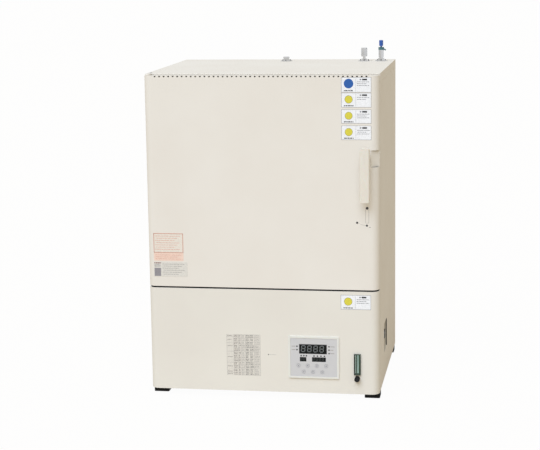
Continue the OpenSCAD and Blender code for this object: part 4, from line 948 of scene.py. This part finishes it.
# %% Place the screws
screw_steel = finish("screw_steel", (150, 148, 144), 0.35, 1.0)
mottle(screw_steel, grain(screw_steel, 900), (156, 154, 150), (120, 118, 114))
dark_screw = finish("dark_screw", (52, 50, 48), 0.45, 0.6)
mottle(dark_screw, grain(dark_screw, 900), (56, 54, 52), (38, 36, 35))


def screws(name, width, height, places, facing, body, paint):
    """Screw heads at places in metres, all on one body and facing one way."""
    return grown(name, screw_tree, {"Head Width": width, "Head Height": height, "Recess Width": width * 0.16,
                                    "Material": paint}, body, places, [facing] * len(places))


EDGE_IN, LEVEL_IN, PORT_FLANGE_R, PORT_STEP, SCREW_R = 0.009, 0.012, 0.019, 0.055, 0.0145
back_low, back_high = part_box("back_panel")
levels_z = [back_low.z + 0.03 + (back_high.z - back_low.z - 0.06) * i / 5 for i in range(6)]
end_levels_z = (back_low.z + LEVEL_IN, back_high.z - LEVEL_IN)
back_places = [(side * (back_high.x - EDGE_IN), back_high.y, z) for side in (-1, 1) for z in levels_z]
back_places += [(x, back_high.y, z) for x in (-0.2, 0, 0.2) for z in end_levels_z]
screws("back_screws", 0.0075, 0.0022, back_places, (0, 1, 0), "cabinet", screw_steel)
cover_low, cover_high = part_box("top_cover")
cover_places = [(x, cover_high.y, (cover_low.z + cover_high.z) / 2) for x in (-0.3, -0.1, 0.1, 0.3)]
screws("cover_screws", 0.0075, 0.0022, cover_places, (0, 1, 0), "cabinet", screw_steel)
flange_low, flange_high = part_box("port_flanges")
port_y = (flange_low.y + flange_high.y) / 2
last_port = flange_high.x - PORT_FLANGE_R
port_places = [(x + SCREW_R * math.cos(a), port_y + SCREW_R * math.sin(a), flange_high.z)
               for x in (flange_low.x + PORT_FLANGE_R, last_port - PORT_STEP, last_port)
               for a in (math.radians(30), math.radians(150), math.radians(270))]
screws("port_screws", 0.0045, 0.0018, port_places, (0, 0, 1), "cabinet", dark_screw)
hinge_low, hinge_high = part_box("upper_hinge_plate")
hinge_x = (hinge_low.x + hinge_high.x) / 2
hinge_places = [(hinge_x, hinge_high.y - step, hinge_high.z) for step in (0.009, 0.027)]
screws("hinge_screws", 0.006, 0.0012, hinge_places, (0, 0, 1), "cabinet", screw_steel)

# %% [markdown]
# The stage is a pale floor and an even white surround. For camera rays the floor mixes
# its own shading with plain white, so it looks like a photographer's sweep and still
# keeps the oven's shadow. None of this adds light to the oven itself.

# %% Floor
floor_mesh = bmesh.new()
bmesh.ops.create_grid(floor_mesh, x_segments=1, y_segments=1, size=120)
floor_data = bpy.data.meshes.new("floor")
floor_mesh.to_mesh(floor_data)
floor_mesh.free()
floor = bpy.data.objects.new("floor", floor_data)
bpy.context.scene.collection.objects.link(floor)

WHITE_SHARE = 0.97
floor_paint = finish("floor_paint", (210, 197, 176), 0.9, Specular_IOR_Level=0.0)
floor_tree = floor_paint.node_tree
mottle(floor_paint, grain(floor_paint, 3), (210, 197, 176), (207, 194, 173))


def seen_directly(tree):
    """1 for camera, glossy and transmission rays, so metal and glass see the same white."""
    path = tree.nodes.new("ShaderNodeLightPath")
    total = path.outputs["Is Camera Ray"]
    for name in ("Is Glossy Ray", "Is Transmission Ray"):
        larger = tree.nodes.new("ShaderNodeMath")
        larger.operation = "MAXIMUM"
        tree.links.new(total, larger.inputs[0])
        tree.links.new(path.outputs[name], larger.inputs[1])
        total = larger.outputs["Value"]
    return total


share = floor_tree.nodes.new("ShaderNodeMath")
share.operation = "MULTIPLY"
share.inputs[1].default_value = WHITE_SHARE
floor_tree.links.new(seen_directly(floor_tree), share.inputs[0])
plain_white = floor_tree.nodes.new("ShaderNodeEmission")
plain_white.inputs["Strength"].default_value = 1.0
blend = floor_tree.nodes.new("ShaderNodeMixShader")
floor_tree.links.new(share.outputs["Value"], blend.inputs["Fac"])
floor_tree.links.new(floor_tree.nodes["Principled BSDF"].outputs["BSDF"], blend.inputs[1])
floor_tree.links.new(plain_white.outputs["Emission"], blend.inputs[2])
floor_tree.links.new(blend.outputs["Shader"], floor_tree.nodes["Material Output"].inputs["Surface"])
floor_data.materials.append(floor_paint)

# %% [markdown]
# The light is that of a studio: a broad soft lamp in front, above and a little to the
# left, and a bright even surround. The right side, which the lamp hardly reaches, then
# keeps about two thirds of the brightness of the front, as in the photograph.

# %% World and lamps
SURROUND = (1.0, 0.942, 0.808)
SURROUND_STRENGTH = 0.56
world = bpy.data.worlds.new("studio")
bpy.context.scene.world = world
world.use_nodes = True
sky = world.node_tree
background = sky.nodes["Background"]
background.inputs["Color"].default_value = SURROUND + (1.0,)
background.inputs["Strength"].default_value = SURROUND_STRENGTH
backdrop = sky.nodes.new("ShaderNodeBackground")
backdrop.inputs["Strength"].default_value = 1.0
backdrop.inputs["Color"].default_value = (1, 1, 1, 1)
choose = sky.nodes.new("ShaderNodeMixShader")
sky.links.new(seen_directly(sky), choose.inputs["Fac"])
sky.links.new(background.outputs["Background"], choose.inputs[1])
sky.links.new(backdrop.outputs["Background"], choose.inputs[2])
sky.links.new(choose.outputs["Shader"], sky.nodes["World Output"].inputs["Surface"])

KEY_FROM = Vector((-0.15, -0.65, 0.745))
key_data = bpy.data.lights.new("key_lamp", "SUN")
key_data.energy = 2.63
key_data.angle = math.radians(50)
key_data.color = (0.708, 0.817, 1.0)
key = bpy.data.objects.new("key_lamp", key_data)
key.matrix_world = KEY_FROM.to_track_quat("Z", "Y").to_matrix().to_4x4()
bpy.context.scene.collection.objects.link(key)

# %% [markdown]
# The view transform stays plain, so that a colour renders as it is written.

# %% View transform
scene = bpy.context.scene
scene.view_settings.view_transform = "Standard"
